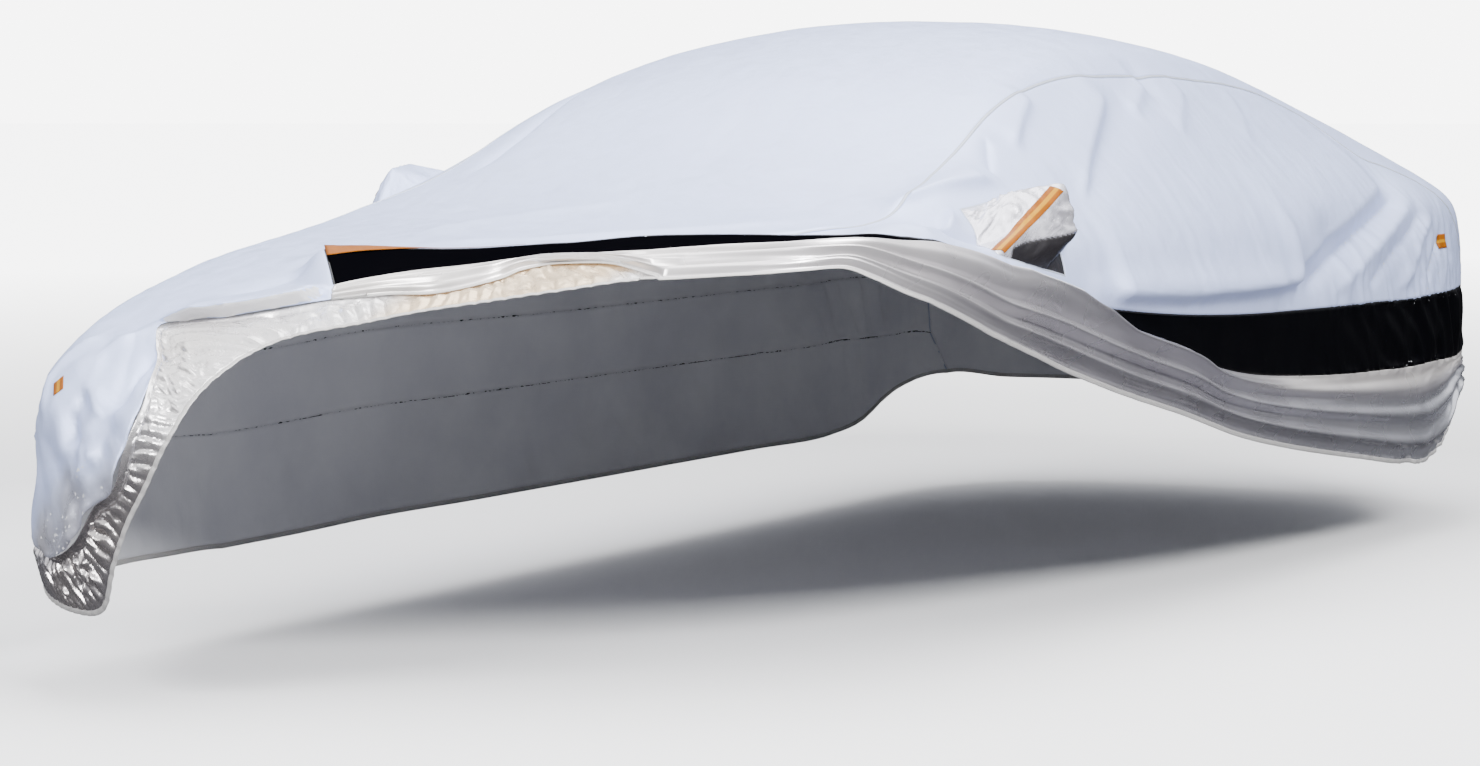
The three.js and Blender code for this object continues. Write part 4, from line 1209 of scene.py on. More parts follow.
@dataclass(frozen=True)
class ReflectiveTape:
    """Woven tape of orange, with a pale retroreflective stripe. Lengths are in metres.

    Attributes:
        width: the tape's width.
        offset: where the stripe's middle lies across it.
        stripe: share of the width that the pale stripe takes.
        cell, wear: pitch of the reflective cells and size of the worn patches.
    """

    name: str
    width: float
    offset: float = 0.0
    stripe: float = 0.3
    cell: float = 0.0025
    wear: float = 0.03

    def build(self) -> Material:
        """Makes the material.

        Returns:
            The material.
        """
        sheet = new_material(self.name)
        place = sheet.add("UVMap", out="UV", uv_map="cloth")
        across = sheet.add("SeparateXYZ", (place,), "Y")
        off_middle = sheet.add("Math", (across, self.offset), "Value", operation="SUBTRACT")
        distance = sheet.add("Math", (off_middle,), "Value", operation="ABSOLUTE")
        edge = self.stripe * self.width / 2
        pale = sheet.add(
            "MapRange", (distance, edge * 0.85, edge * 1.15 + 1e-6, 1.0, 0.0), "Result"
        )
        cells = sheet.add(
            "TexVoronoi", {"Vector": place, "Scale": 1 / self.cell, "Randomness": 0.15},
            "Distance",
        )
        worn = sheet.add(
            "TexNoise", {"Vector": place, "Scale": 1 / self.wear, "Detail": 3.0}, "Fac"
        )
        orange = sheet.add("ValToRGB", (worn,), "Color", [(0.3, "#7e4400"), (0.7, "#8c4e00")])
        colour = sheet.add("Mix", {0: pale, 6: orange, 7: linear("#ad7900")}, 2, data_type="RGBA")
        bump = sheet.add("Bump", {"Height": cells, "Distance": 0.0003}, "Normal")
        shader = sheet.add(
            "BsdfPrincipled",
            {"Base Color": colour, "Roughness": 0.4, "Normal": bump, "Specular IOR Level": 0.2},
            "BSDF",
        )
        sheet.add("OutputMaterial", {"Surface": shader})
        return sheet.owner


@dataclass(frozen=True)
class SewnTape:
    """Narrow strip of cloth along a seam, with rows of stitches. Lengths are in metres.

    Attributes:
        cloth, thread: colours of the strip and of its stitches.
        rows: distances of the rows of stitches from the strip's middle.
        pitch: from stitch to stitch.
        grain: size of the cloth's unevenness.
    """

    name: str
    cloth: str
    thread: str
    metal: float = 0.1
    roughness: float = 0.5
    rows: tuple = (-0.0025, 0.0025)
    pitch: float = 0.006
    grain: float = 0.012

    def build(self) -> Material:
        """Makes the material.

        Returns:
            The material.
        """
        sheet = new_material(self.name)
        place = sheet.add("UVMap", out="UV", uv_map="cloth")
        across = sheet.add("SeparateXYZ", (place,), "Y")
        dashes = sheet.add("TexWave", {"Vector": place, "Scale": wave_scale(self.pitch)}, "Fac")
        dash = sheet.add("MapRange", (dashes, 0.15, 0.35, 0.0, 1.0), "Result")
        stitch = None
        for row in self.rows:
            offset = sheet.add("Math", (across, row), "Value", operation="SUBTRACT")
            away = sheet.add("Math", (offset,), "Value", operation="ABSOLUTE")
            line = sheet.add("MapRange", (away, 0.0004, 0.0008, 1.0, 0.0), "Result")
            stitch = line if stitch is None else sheet.add(
                "Math", (stitch, line), "Value", operation="MAXIMUM"
            )
        thread = sheet.add("Math", (stitch, dash), "Value", operation="MULTIPLY")
        noise = sheet.add(
            "TexNoise", {"Vector": place, "Scale": 1 / self.grain, "Detail": 3.0}, "Fac"
        )
        relief = sheet.add("Math", (thread, noise), "Value", operation="ADD")
        colour = sheet.add(
            "Mix", {0: thread, 6: linear(self.cloth), 7: linear(self.thread)}, 2,
            data_type="RGBA",
        )
        bump = sheet.add("Bump", {"Height": relief, "Distance": 0.0006}, "Normal")
        shader = sheet.add(
            "BsdfPrincipled",
            {
                "Base Color": colour, "Metallic": self.metal, "Roughness": self.roughness,
                "Normal": bump,
            },
            "BSDF",
        )
        sheet.add("OutputMaterial", {"Surface": shader})
        return sheet.owner


def made(finish: Union[CoatedCloth, ReflectiveTape, SewnTape]) -> Material:
    """A field that makes its material with the class that holds it."""
    return field(default_factory=finish.build)


@dataclass(frozen=True)
class Finishes:
    """The cover's materials, each made once."""

    # silver-grey coated polyester: bright, bluish and only softly glossy, and shinier
    # and greyer where it is crushed
    silver: Material = made(CoatedCloth(
        "silver_coated_polyester", "#c6d3fb", "#bccaf5", metal=0.3, roughness=0.42,
        tints=((0.0, "#c6d3fb"), (0.4, "#c4cae0"), (1.0, "#d0cfd6")),
        far_metal=0.6, far_roughness=0.3, crease=0.0003,
    ))
    # the aluminised side of the cloth: greyer, with long glossy streaks, and ivory
    # towards the bonnet
    skirt: Material = made(CoatedCloth(
        "aluminised_polyester", "#b9b8be", "#a19fa5", metal=0.85, roughness=0.27,
        roughness_spread=0.04, crumple=0.0006, crumple_size=0.15, crumple_detail=1.0,
        crease=0.0, weave_height=0.0,
        tints=((0.0, "#d2d4dc"), (0.35, "#bdbbc2"), (0.65, "#c8c5c9"), (0.9, "#ece7e4")),
        far_metal=0.6, far_roughness=0.3,
    ))
    # the same cloth bunched by elastic: ivory and glinting, with painted brown reflection and
    # crease shade in its colour over the bonnet and in its brownish darker patches, and grey down
    # at the far corner
    gathered: Material = made(CoatedCloth(
        "bunched_aluminised_polyester", "#efebe6", "#cdbfae", metal=0.6, roughness=0.27,
        crumple=0.0012, crumple_size=0.045, crease=0.0005, crease_size=0.05,
        weave_height=0.0,
        tints=((0.0, "#dfc7a6"), (0.3, "#f1eff0"), (0.6, "#ecebee"), (1.0, "#b9b6ba")),
        far_metal=0.88, far_roughness=0.24,
    ))
    # coated cloth of the mirror pockets, crushed where it is pulled over them
    pocket: Material = made(CoatedCloth(
        "crushed_coated_polyester", "#e2e0ea", "#d2d1da", metal=0.7, roughness=0.28,
        crumple=0.0012, crumple_size=0.05, crease=0.0008, crease_size=0.06,
    ))
    # black coated polyester: deep, with only the faintest gloss towards the tail
    black: Material = made(CoatedCloth(
        "black_coated_polyester", "#040406", "#020204", metal=0.0, roughness=0.36,
        tints=((0.0, "#040406"), (1.0, "#040406")), far_roughness=0.36,
        crumple=0.0012, crumple_size=0.2, crumple_detail=1.5, crease=0.0,
        weave_height=0.0, gloss=0.0, far_gloss=0.06,
    ))
    # dark grey sheet under each mirror pocket, drawn where the pocket's underside looks dark
    gusset: Material = made(CoatedCloth(
        "dark_grey_polyester", "#232124", "#1a191b", metal=0.0, roughness=0.42,
        gloss=0.2,
    ))
    # soft needled backing: pale and quite dull
    lining: Material = made(CoatedCloth(
        "needled_cotton_backing", "#d9dadd", "#cccdd2", metal=0.0, roughness=0.92,
        roughness_spread=0.03, crumple=0.0006, crumple_size=0.02, crease=0.0004,
        weave=0.002, sheen=0.2,
    ))
    # felled seams of the silver cloth, sewn with grey thread
    silver_seam: Material = made(SewnTape(
        "felled_silver_seam", "#b7bece", "#9aa0ae", metal=0.3, roughness=0.45
    ))
    # felled seams of the black band
    black_seam: Material = made(SewnTape("felled_black_seam", "#15161a", "#2b2c31", metal=0.0))
    # pale twill tape folded over the hem
    edging: Material = made(SewnTape(
        "folded_twill_edging", "#b9b7b6", "#cfcdca", metal=0.3, roughness=0.5,
        rows=(0.003, 0.006),
    ))
    # retroreflective tape woven of polyester: flat orange, with a brighter stripe where
    # one is woven in
    mirror_tape: Material = made(ReflectiveTape("orange_tape_wide", width=0.034, offset=0.009))
    band_tape: Material = made(ReflectiveTape("orange_tape_plain", width=0.1, stripe=0.0))
    tab_tape: Material = made(ReflectiveTape("orange_tape_narrow", width=0.026, stripe=0.34))


# ---- Sheets of the cover ----
@lru_cache(maxsize=None)
def edges_at(fine: int) -> CutEdges:
    """The shared edges with so many points for a cell, made once."""
    return CutEdges(fine)


def rows_between(start: Array, end: Array, cells: int) -> tuple:
    """Both ends of a ribbon with the same number of cells."""
    return resampled(start, cells), resampled(end, cells)


@dataclass
class TopPanel:
    """Bonnet, roof, boot and tail, with the far front corner hanging from the bonnet."""

    fine: int = 10

    def hang(self) -> HungSheet:
        """Hangs the panel.

        Returns:
            The hung sheet.
        """
        e, n = edges_at(self.fine), self.fine
        near = join(
            e["panel_tip"][::-1], e["seam_left"][::-1], e["corner_left"],
            e["band_end_left"], e["skirt_end_left"],
        )
        far = join(
            e["seam_right"][::-1], mirrored(e["corner_left"]),
            mirrored(e["band_end_left"]), mirrored(e["skirt_end_left"]),
        )
        corner_rows = BONNET_CELLS * n
        bonnet_edge = e["band_top_left"][-corner_rows - 1 :]
        main = e.smooth_grid(near, far, join(bonnet_edge, e["bonnet_line"]), e["hem_rear"])
        corner = e.smooth_grid(
            e["bonnet_line"], e["gather_nose"], join(e["wedge_end"], e["fold_end"]),
            join(e["nose_side"], e["nose_band"], e["nose_skirt"]),
        )
        hanging = np.stack([
            np.vstack([bonnet_edge[:-1], corner[:, k]]) for k in range(corner_rows, 0, -1)
        ])
        grid = np.concatenate([hanging, main])
        keep = np.ones((grid.shape[0] - 1, grid.shape[1] - 1), bool)
        keep[:corner_rows, :corner_rows] = False
        moved, rise = rolled_edge(grid)
        sheet = hang(moved, rise, keep=keep)
        sheet.tint = crushed_share(grid[..., 0], grid[..., 1])
        return sheet


# Seam along which the smooth cloth rolls over the bunched edge
ROLL = ((-590, -2128), (-466, -2102), (-375, -2087), (-276, -2048), (-215, -2015), (-196, -1946))
ROLL_SIZE = 42  # how far the roll reaches over the seam, and how far it stands up


def rolled_edge(grid: Grid) -> tuple:
    """Draws the smooth cloth over the bunched edge in a roll.

    Args:
        grid: the top panel's points.

    Returns:
        The moved points and the rise that the roll gives them.
    """
    path = np.array(ROLL, float)
    signed, share = distance_to_path(grid[..., 0], grid[..., 1], path)
    ends = smoothstep(share, 0, 0.3) * smoothstep(1 - share, 0, 0.1)
    size = ROLL_SIZE * ends * smoothstep(signed, 0, 16)
    along = unit(path[-1] - path[0])
    moved = grid.copy()
    reach = size * (1 - smoothstep(signed, 20, 140))
    moved[..., :2] += reach[..., None] * np.array([along[1], -along[0]])
    return moved, size * (1 - smoothstep(signed, 26, 200))


@dataclass
class SidePanel:
    """A side of the cover from the roof seam down to the black band."""

    side: Side
    fine: int = 0
    rows: int = 0

    def __post_init__(self) -> None:
        """Draws the left side, which shows its folds, finer than the right."""
        self.fine, self.rows = (16, 60) if self.side is Side.LEFT else (8, 32)

    def hang(self) -> HungSheet:
        """Hangs the panel, with a hole where its mirror pocket is sewn in.

        Returns:
            The hung sheet.
        """
        e, n = edges_at(self.fine), self.fine
        if self.side is Side.LEFT:
            start, end = rows_between(e["corner_left"], e["panel_tip"], self.rows)
            grid = e.smooth_grid(e["seam_left"], e["band_top_left"][: TIP_CELL * n + 1], start, end)
        else:
            start, end = rows_between(mirrored(e["corner_left"]), e["nose_side"], self.rows)
            grid = e.smooth_grid(e["seam_right"], e["band_top_right"], start, end)
        keep = np.ones((grid.shape[0] - 1, grid.shape[1] - 1), bool)
        i0, i1, j0, j1 = POCKETS[self.side].cells(n, self.rows)
        keep[i0:i1, j0:j1] = False
        return hang(grid, keep=keep)


@dataclass(frozen=True)
class PocketSeat:
    """Where a mirror pocket is sewn in, and the four points that it is pushed out to.

    Attributes:
        columns: first and last column of its hole, in cells of the solids.
        rows: first and last share of the side panel's depth.
        rear_upper, rear_lower, front_upper, front_lower: across, along and car height.
        strip: stretch of the ridge that the reflective tape covers.
    """

    columns: tuple
    rows: tuple
    rear_upper: tuple
    rear_lower: tuple
    front_upper: tuple
    front_lower: tuple
    strip: tuple

    def cells(self, fine: int, rows: int) -> tuple:
        """The hole's bounds in a finer grid.

        Args:
            fine, rows: the grid's fineness and its rows.

        Returns:
            First and last column, then first and last row.
        """
        return (
            self.columns[0] * fine,
            self.columns[1] * fine,
            round(self.rows[0] * rows),
            round(self.rows[1] * rows),
        )


POCKETS = {
    Side.LEFT: PocketSeat(
        columns=(16, 22),
        rows=(5 / 12, 11 / 12),
        rear_upper=(948, -700, 1074),
        rear_lower=(982, -703, 958),
        front_upper=(872, -828, 1052),
        front_lower=(938, -875, 985),
        strip=(5.7, 2.35),
    ),
    Side.RIGHT: PocketSeat(
        columns=(17, 20),
        rows=(2 / 8, 5 / 8),
        rear_upper=(-970, -620, 1106),
        rear_lower=(-1012, -680, 1005),
        front_upper=(-905, -795, 1098),
        front_lower=(-948, -805, 1022),
        strip=(3.9, 2.3),
    ),
}


@dataclass
class Band:
    """The black band along a side."""

    side: Side
    fine: int = 14
    rows: int = 20

    def hang(self) -> HungSheet:
        """Hangs the band, with the slanting wrinkles at its rear end.

        Returns:
            The hung sheet.
        """
        e = edges_at(self.fine)
        if self.side is Side.LEFT:
            top, low = e["band_top_left"], e["band_low_left"]
            v = np.linspace(0, 1, self.rows + 1)
            wedge = np.interp(v * 4, range(5), WEDGE_SHARES)
            u = np.linspace(0, 1, len(top))[:, None]
            shares = v * (1 - u) + wedge * u
            grid = top[:, None] * (1 - shares[..., None]) + low[:, None] * shares[..., None]
        else:
            start, end = rows_between(mirrored(e["band_end_left"]), e["nose_band"], self.rows)
            grid = fill_between(e["band_top_right"], e["band_low_right"], start, end)
        x, y = grid[..., 0], grid[..., 1]
        down = np.linspace(0, 1, self.rows + 1)[None]
        inside = smoothstep(down, 0, 0.12) * smoothstep(1 - down, 0, 0.12)
        rear = smoothstep(y, 700, 1500)
        slant = gradient_noise((np.abs(x) + y) / 260, (np.abs(x) - y) / 95, 71)
        extra = inside * (12.0 * rear * slant + 2.0 * gradient_noise(y / 120, np.abs(x) / 90, 72))
        sheet = hang(grid, extra, smooth=1 - 0.8 * inside, even=(6, 4))
        sheet.tint = smoothstep(y, -700, 300)
        return sheet


@dataclass
class Skirt:
    """The silver cloth below a band, in long folds on the left side."""

    side: Side
    fine: int = 0
    rows: int = 0

    def __post_init__(self) -> None:
        """Draws the left side, which shows its folds, finer than the right."""
        self.fine, self.rows = (16, 80) if self.side is Side.LEFT else (10, 30)

    def hang(self) -> HungSheet:
        """Hangs the skirt.

        Returns:
            The hung sheet.
        """
        e = edges_at(self.fine)
        if self.side is Side.LEFT:
            high = join(e["hem_left"], e["gather_tip"], e["gather_bonnet"])
            start, end = rows_between(e["skirt_end_left"], e["fold_end"], self.rows)
            grid = fill_between(e["band_low_left"], high, start, end)
        else:
            tail = mirrored(e["skirt_end_left"])
            start, end = rows_between(tail, join(e["nose_skirt"], e["gather_end"]), self.rows)
            grid = fill_between(e["band_low_right"], e["hem_right"], start, end)
        station = np.linspace(0, 1, grid.shape[0])[:, None]
        down = np.linspace(0, 1, self.rows + 1)[None]
        inside = smoothstep(down, 0, 0.06) * smoothstep(1 - down, 0, 0.06)
        if self.side is Side.RIGHT:
            return hang(grid, inside * 6 * crumples(station * 22, down * 0.8 + 3, 81))
        folds = skirt_fold_rise(station, down)
        # smaller rolls that wander along the three long folds
        drift = 0.06 * gradient_noise(station * 4, down * 1.2, 90)
        bunched = smoothstep(station, 0.08, 0.4)
        height = (3.0 + 5.0 * bunched) * (0.65 + 0.6 * gradient_noise(station * 9, down * 4, 94))
        small = height * rolls((down + drift) * 7.3, 1.3)
        wander = gradient_noise(station * 11, down * 2, 95)
        streaks = 0.8 * rolls((down + 1.4 * drift) * 15.0 + wander, 1.5)
        # the loose rear end, crumpled round the corner
        loose = 1 - smoothstep(station, 0.03, 0.2)
        corner = crumples(station * 26, down * 3.2, 93, 2)
        extra = folds + inside * (small + bunched * streaks + 7.0 * loose * corner)
        # its own folds take over from the smooth cloth's unevenness between its two seams
        smooth = 1 - smoothstep(down, 0, 0.08) * smoothstep(1 - down, 0, 0.05)
        sheet = hang(self.lapped(grid, station, down), extra, smooth=smooth, even=(8, 14))
        # paler just under the band at the rear, where it isn't pulled up
        pale = (1 - smoothstep(down, 0.1, 0.45)) * (1 - smoothstep(station, 0.24, 0.4))
        sheet.tint = np.maximum(station + 0 * down, 0.95 * pale)
        return sheet

    def lapped(self, grid: Grid, station: Array, down: Array) -> Grid:
        """The same grid with the uppermost fold drawn up over the band.

        Args:
            grid: the skirt's cutting-line points.
            station, down: shares of the length and of the drop at its points.

        Returns:
            The moved points.
        """
        e = edges_at(self.fine)
        upwards = (e["band_top_left"] - e["band_low_left"])[:, None, :2]
        height = np.linalg.norm(upwards, axis=-1)
        upwards = unit(upwards)
        drop = np.linalg.norm(grid[:, -1:, :2] - grid[:, :1, :2], axis=-1)
        cover = np.interp(station, *LAP)
        hump = smoothstep(down, 0, 0.08) * (1 - smoothstep(down, 0.1, 0.26))
        reach = cover * height + 0.09 * drop * smoothstep(cover, 0, 0.5)
        moved = grid.copy()
        moved[..., :2] += upwards * (reach * hump)[..., None]
        return moved


@dataclass
class GatheredEdge:
    """The front edge, bunched by its elastic into short pleats square to the hem."""

    fine: int = 30
    rows: int = 40
    pitch: float = 36.0  # from pleat to pleat

    def hang(self) -> HungSheet:
        """Hangs the gathered edge.

        Returns:
            The hung sheet.
        """
        e = edges_at(self.fine)
        nose = resampled(e["gather_nose"], 2 * (len(e["gather_nose"]) - 1))
        low = join(e["gather_bonnet"], nose)
        start, end = rows_between(e["gather_tip"][::-1], e["gather_end"], self.rows)
        grid = fill_between(low, e["hem_front"], start, end)
        hem = grid[:, -1, :2]
        steps = np.linalg.norm(np.diff(hem, axis=0), axis=1)
        along = np.concatenate([[0], np.cumsum(steps)])[:, None]
        width = np.linalg.norm(grid[:, -1, :2] - grid[:, 0, :2], axis=1)[:, None]
        down = np.linspace(0, 1, self.rows + 1)[None]
        depth = width * down
        sewn = smoothstep(depth, 0, 26)
        ends = smoothstep(along, 0, 60) * smoothstep(along[-1] - along, 0, 60)
        lean = along - 0.5 * (width - depth) + 16 * gradient_noise(along / 110, depth / 90, 102)
        open_cloth = smoothstep(width - depth, 4, 60)
        room = np.clip(width / 120, 0.4, 1.0)
        uneven = 0.75 + 0.5 * gradient_noise(along / 60, depth / 120, 103)
        pleats = uneven * rolls(lean / self.pitch)
        shift = 0.5 * gradient_noise(along / 40, depth / 50, 104)
        fine_pleats = rolls(lean / (0.43 * self.pitch) + shift)
        puffs = swells(lean / 110, depth / 110, 111, 2)
        facets = crumples(lean / 55, depth / 60, 121, 2)
        far = smoothstep(-grid[..., 1], 2380, 2560)
        held = 0.3 + 0.7 * smoothstep(width - depth, 0, 22)  # the elastic keeps the hem even
        extra = held * sewn * ends * room * (
            (9.0 + 2.0 * far) * pleats
            + 1.8 * fine_pleats
            + open_cloth * (6 * puffs + (4.0 + 8.0 * far) * facets)
        )
        # the tuck just below the line where the smooth cloth overlaps it
        extra -= ends * 12 * np.exp(-(((depth - 13) / 11) ** 2))
        sheet = hang(grid, extra, smooth=0, even=(10, 6))
        x, y = grid[..., 0], grid[..., 1]
        # painted brown reflection and crease shade: over the bonnet, across 60 to 380, the cloth
        # takes the brownish start of its tint range
        painted_brown_reflection = smoothstep(x, -60, 60) * smoothstep(-x, -480, -380)
        sheet.tint = 0.3 * (1 - painted_brown_reflection) + 0.7 * smoothstep(-y, 2350, 2600)
        return sheet


# ---- Mirror pockets ----
def bilinear(grid: Grid, i: Array, j: Array) -> Array:
    """Points of a grid between its own.

    Args:
        grid: the grid.
        i, j: columns and rows, whole or not.

    Returns:
        The points.
    """
    i0 = np.clip(np.floor(i).astype(int), 0, grid.shape[0] - 2)
    j0 = np.clip(np.floor(j).astype(int), 0, grid.shape[1] - 2)
    u = (i - i0)[..., None]
    v = (j - j0)[..., None]
    low = grid[i0, j0] * (1 - u) + grid[i0 + 1, j0] * u
    high = grid[i0, j0 + 1] * (1 - u) + grid[i0 + 1, j0 + 1] * u
    return low * (1 - v) + high * v


def on_facets(net: Grid, i: Array, j: Array) -> Array:
    """Points on a net's flat triangles, each cell being cut from its first corner.

    Args:
        net: the net.
        i, j: columns and rows, whole or not.

    Returns:
        The points.
    """
    i0 = np.clip(np.floor(i).astype(int), 0, net.shape[0] - 2)
    j0 = np.clip(np.floor(j).astype(int), 0, net.shape[1] - 2)
    u = i - i0
    v = j - j0
    upper = u >= v
    corner = np.where(upper[..., None], net[i0 + 1, j0], net[i0, j0 + 1])
    near = np.where(upper, 1 - u, 1 - v)[..., None]
    far = np.where(upper, v, u)[..., None]
    return net[i0, j0] * near + corner * (1 - near - far) + net[i0 + 1, j0 + 1] * far


@dataclass
class MirrorPocket:
    """A pouch sewn into a side panel and pushed out over the door mirror."""

    side: Side
    panel: HungSheet
    panel_fine: int
    panel_rows: int
    cells: int = 60
    rounding: int = 7  # passes of smoothing that soften the ridges

    def __post_init__(self) -> None:
        """Shapes the pouch from its panel's hole and its four tips."""
        seat = POCKETS[self.side]
        i0, i1, j0, j1 = seat.cells(self.panel_fine, self.panel_rows)
        outer = self.panel.outer
        share = np.linspace(0, 1, self.cells + 1)
        u, v = np.meshgrid(share, share, indexing="ij")
        flat = bilinear(outer, i0 + u * (i1 - i0), j0 + v * (j1 - j0))
        normal = bilinear(self.panel.edge_normal, i0 + u * (i1 - i0), j0 + v * (j1 - j0))
        third = self.cells // 3
        net = flat[::third, ::third].copy()
        tips = {
            (1, 1): seat.rear_upper, (1, 2): seat.rear_lower,
            (2, 1): seat.front_upper, (2, 2): seat.front_lower,
        }
        for place, (across, along, height) in tips.items():
            net[place] = (across, along, height + GROUND)
        pouch = on_facets(net, 3 * u, 3 * v)
        gap = flat - pouch
        pouch += (
            gap[:1] * (1 - u[..., None]) + gap[-1:] * u[..., None]
            + gap[:, :1] * (1 - v[..., None]) + gap[:, -1:] * v[..., None]
        )
        for _ in range(self.rounding):
            middle = (pouch[2:, 1:-1] + pouch[:-2, 1:-1] + pouch[1:-1, 2:] + pouch[1:-1, :-2]) / 4
            pouch[1:-1, 1:-1] += 0.7 * (middle - pouch[1:-1, 1:-1])
        self.seam = np.concatenate([flat[:-1, 0], flat[-1, :-1], flat[:0:-1, -1], flat[0, :0:-1]])
        self.seam_normal = np.concatenate([
            normal[:-1, 0], normal[-1, :-1], normal[:0:-1, -1], normal[0, :0:-1]
        ])
        sheet = HungSheet(pouch, self.chart(pouch), normal)
        inside = smoothstep(u, 0, 0.1) * smoothstep(1 - u, 0, 0.1)
        inside = inside * smoothstep(v, 0, 0.1) * smoothstep(1 - v, 0, 0.1)
        ridge = smoothstep(np.abs(u - v), 0.0, 0.16)
        black = smoothstep(v, 0.6, 0.7)
        crushed = crumples(u * 5 + 3, v * 4.5, 131) + 0.5 * crumples(u * 11, v * 9, 132)
        depth = 11.0 if self.side is Side.LEFT else 4.0
        height = inside * (0.25 + 0.75 * ridge) * (depth * (1 - black) + 2.5 * black) * crushed
        self.outer = pouch + sheet.normal * height[..., None]
        self.edge_normal = normal
        # the gusset's upper edge slants down to the pocket's front
        middle = (np.arange(self.cells) + 0.5) / self.cells
        upper = 2 / 3 + 0.5 * np.clip(middle - 1 / 3, 0, None)
        self.black = (middle[None] >= upper[:, None]) & (middle[:, None] < 5 / 6)

    @staticmethod
    def chart(points: Grid) -> Array:
        """Lengths along a grid of points, for the cloth's pattern.

        Args:
            points: the grid.

        Returns:
            Lengths along its columns and down its rows.
        """
        across = np.linalg.norm(np.diff(points, axis=0), axis=-1)
        down = np.linalg.norm(np.diff(points, axis=1), axis=-1)
        x = np.concatenate([np.zeros((1, points.shape[1])), np.cumsum(across, axis=0)])
        y = np.concatenate([np.zeros((points.shape[0], 1)), np.cumsum(down, axis=1)], axis=1)
        return np.stack([x, y], -1)

    def sheet(self, black: bool) -> HungSheet:
        """The pouch's silver part, or the black gusset under it."""
        keep = self.black if black else ~self.black
        return HungSheet(self.outer, self.chart(self.outer), self.edge_normal, keep)

    def tape(self, front: float = 26.0, under: float = 8.0, lift: float = 1.6) -> HungSheet:
        """The reflective tape bent over the pouch's ridge.

        Args:
            front, under: its widths on the two flanks, in millimetres.
            lift: how far it lies off the cloth.

        Returns:
            The tape's outer face.
        """
        first, last = POCKETS[self.side].strip
        unit_cell = self.cells / 6
        places = np.linspace(first, last, 64)[:, None] * unit_cell
        across = np.linspace(-under, front, 15)[None]
        reach = 0.25 * unit_cell
        ridge = bilinear(self.outer, places, places)
        towards = np.where(across > 0, 1, -1)
        flank = bilinear(self.outer, places + reach * towards, places - reach * towards)
        length = np.linalg.norm(flank - ridge, axis=-1)
        step = reach * across / length
        sheet = HungSheet(self.outer, self.chart(self.outer), self.edge_normal)
        points = bilinear(self.outer, places + step, places - step)
        normals = unit(bilinear(sheet.normal, places + step, places - step))
        steps = np.linalg.norm(np.diff(ridge[:, 0], axis=0), axis=-1)
        along = np.concatenate([[0], np.cumsum(steps)])[:, None] + 0 * across
        chart = np.stack([along, across + 0 * along], -1)
        return HungSheet(points + normals * lift, chart, normals)


# ---- Seams, tapes and binding ----
SEAM_FINE = 12  # points of seams and strips for a cell of the solids


def on_cloth(chart: Array, lift: float = 0.0) -> tuple:
    """Places and outward directions on the smooth cloth.

    Args:
        chart: points (across, along, rise).
        lift: how far above the cloth they lie.

    Returns:
        Places, and directions there.
    """
    x, y = chart[..., 0], chart[..., 1]
    normal = CAR.normal(x, y)
    rise = chart[..., 2] + crease_rise(x, y) + smooth_cloth_rise(x, y) + lift
    return CAR.point(x, y) + normal * rise[..., None], normal


@dataclass(frozen=True)
class FelledSeam:
    """A narrow ridge of turned-in cloth along a seam, with its size in millimetres."""

    name: str
    black: bool = False
    width: float = 9.0
    height: float = 1.5

    def build(self, edge: Array, finishes: Finishes) -> Piece:
        """Makes the piece along a sewn edge of the smooth cloth."""
        return self.along(*on_cloth(edge), finishes)

    def along(self, middle: Array, up: Array, finishes: Finishes, closed: bool = False) -> Piece:
        """Makes the piece along a line in space.

        Args:
            middle, up: points of the line, and directions off the cloth there.
            finishes: the cover's materials.
            closed: whether the line runs back to its start.

        Returns:
            The seam's piece.
        """
        side = line_frame(middle, up, closed)
        section = rounded_section(self.width, -CLOTH, self.height, 8)
        piece = ribbon_piece(self.name, middle, side, up, section, closed)
        slot = "black_cloth" if self.black else "silver_cloth"
        material = finishes.black_seam if self.black else finishes.silver_seam
        return finished(piece, [], slot, material)


@dataclass(frozen=True)
class HemBinding:
    """Pale tape folded over the whole hem."""

    width: float = 13.0
    overlap: float = 2.0  # how far it reaches up over the cloth
    low: float = -2.6
    high: float = 1.2
    smoothing: int = 9  # points over which its direction is evened out

    def build(self, hems: Sequence, finishes: Finishes) -> Piece:
        """Makes the binding.

        Args:
            hems: for each sheet in turn, its hem's points, the points above and the normals.
            finishes: the cover's materials.

        Returns:
            The binding's piece.
        """
        middle = np.vstack([hem[0] for hem in hems])
        above = np.vstack([hem[1] for hem in hems])
        up = unit(np.vstack([hem[2] for hem in hems]))
        kernel = np.ones(2 * self.smoothing + 1) / (2 * self.smoothing + 1)
        even = np.stack([
            np.convolve(np.pad(column, self.smoothing, mode="wrap"), kernel, mode="valid")
            for column in middle.T
        ], -1)
        side = line_frame(even, up, closed=True)
        outwards = np.sum(side * (middle - above), -1)
        side = side * np.where(np.median(outwards) < 0, -1, 1)
        section = [
            (across + self.width / 2 - self.overlap, height)
            for across, height in rounded_section(self.width, self.low, self.high)
        ]
        piece = ribbon_piece("hem_binding_tape", middle, side, up, section, closed=True)
        return finished(piece, ["hem_binding"], "edging", finishes.edging)


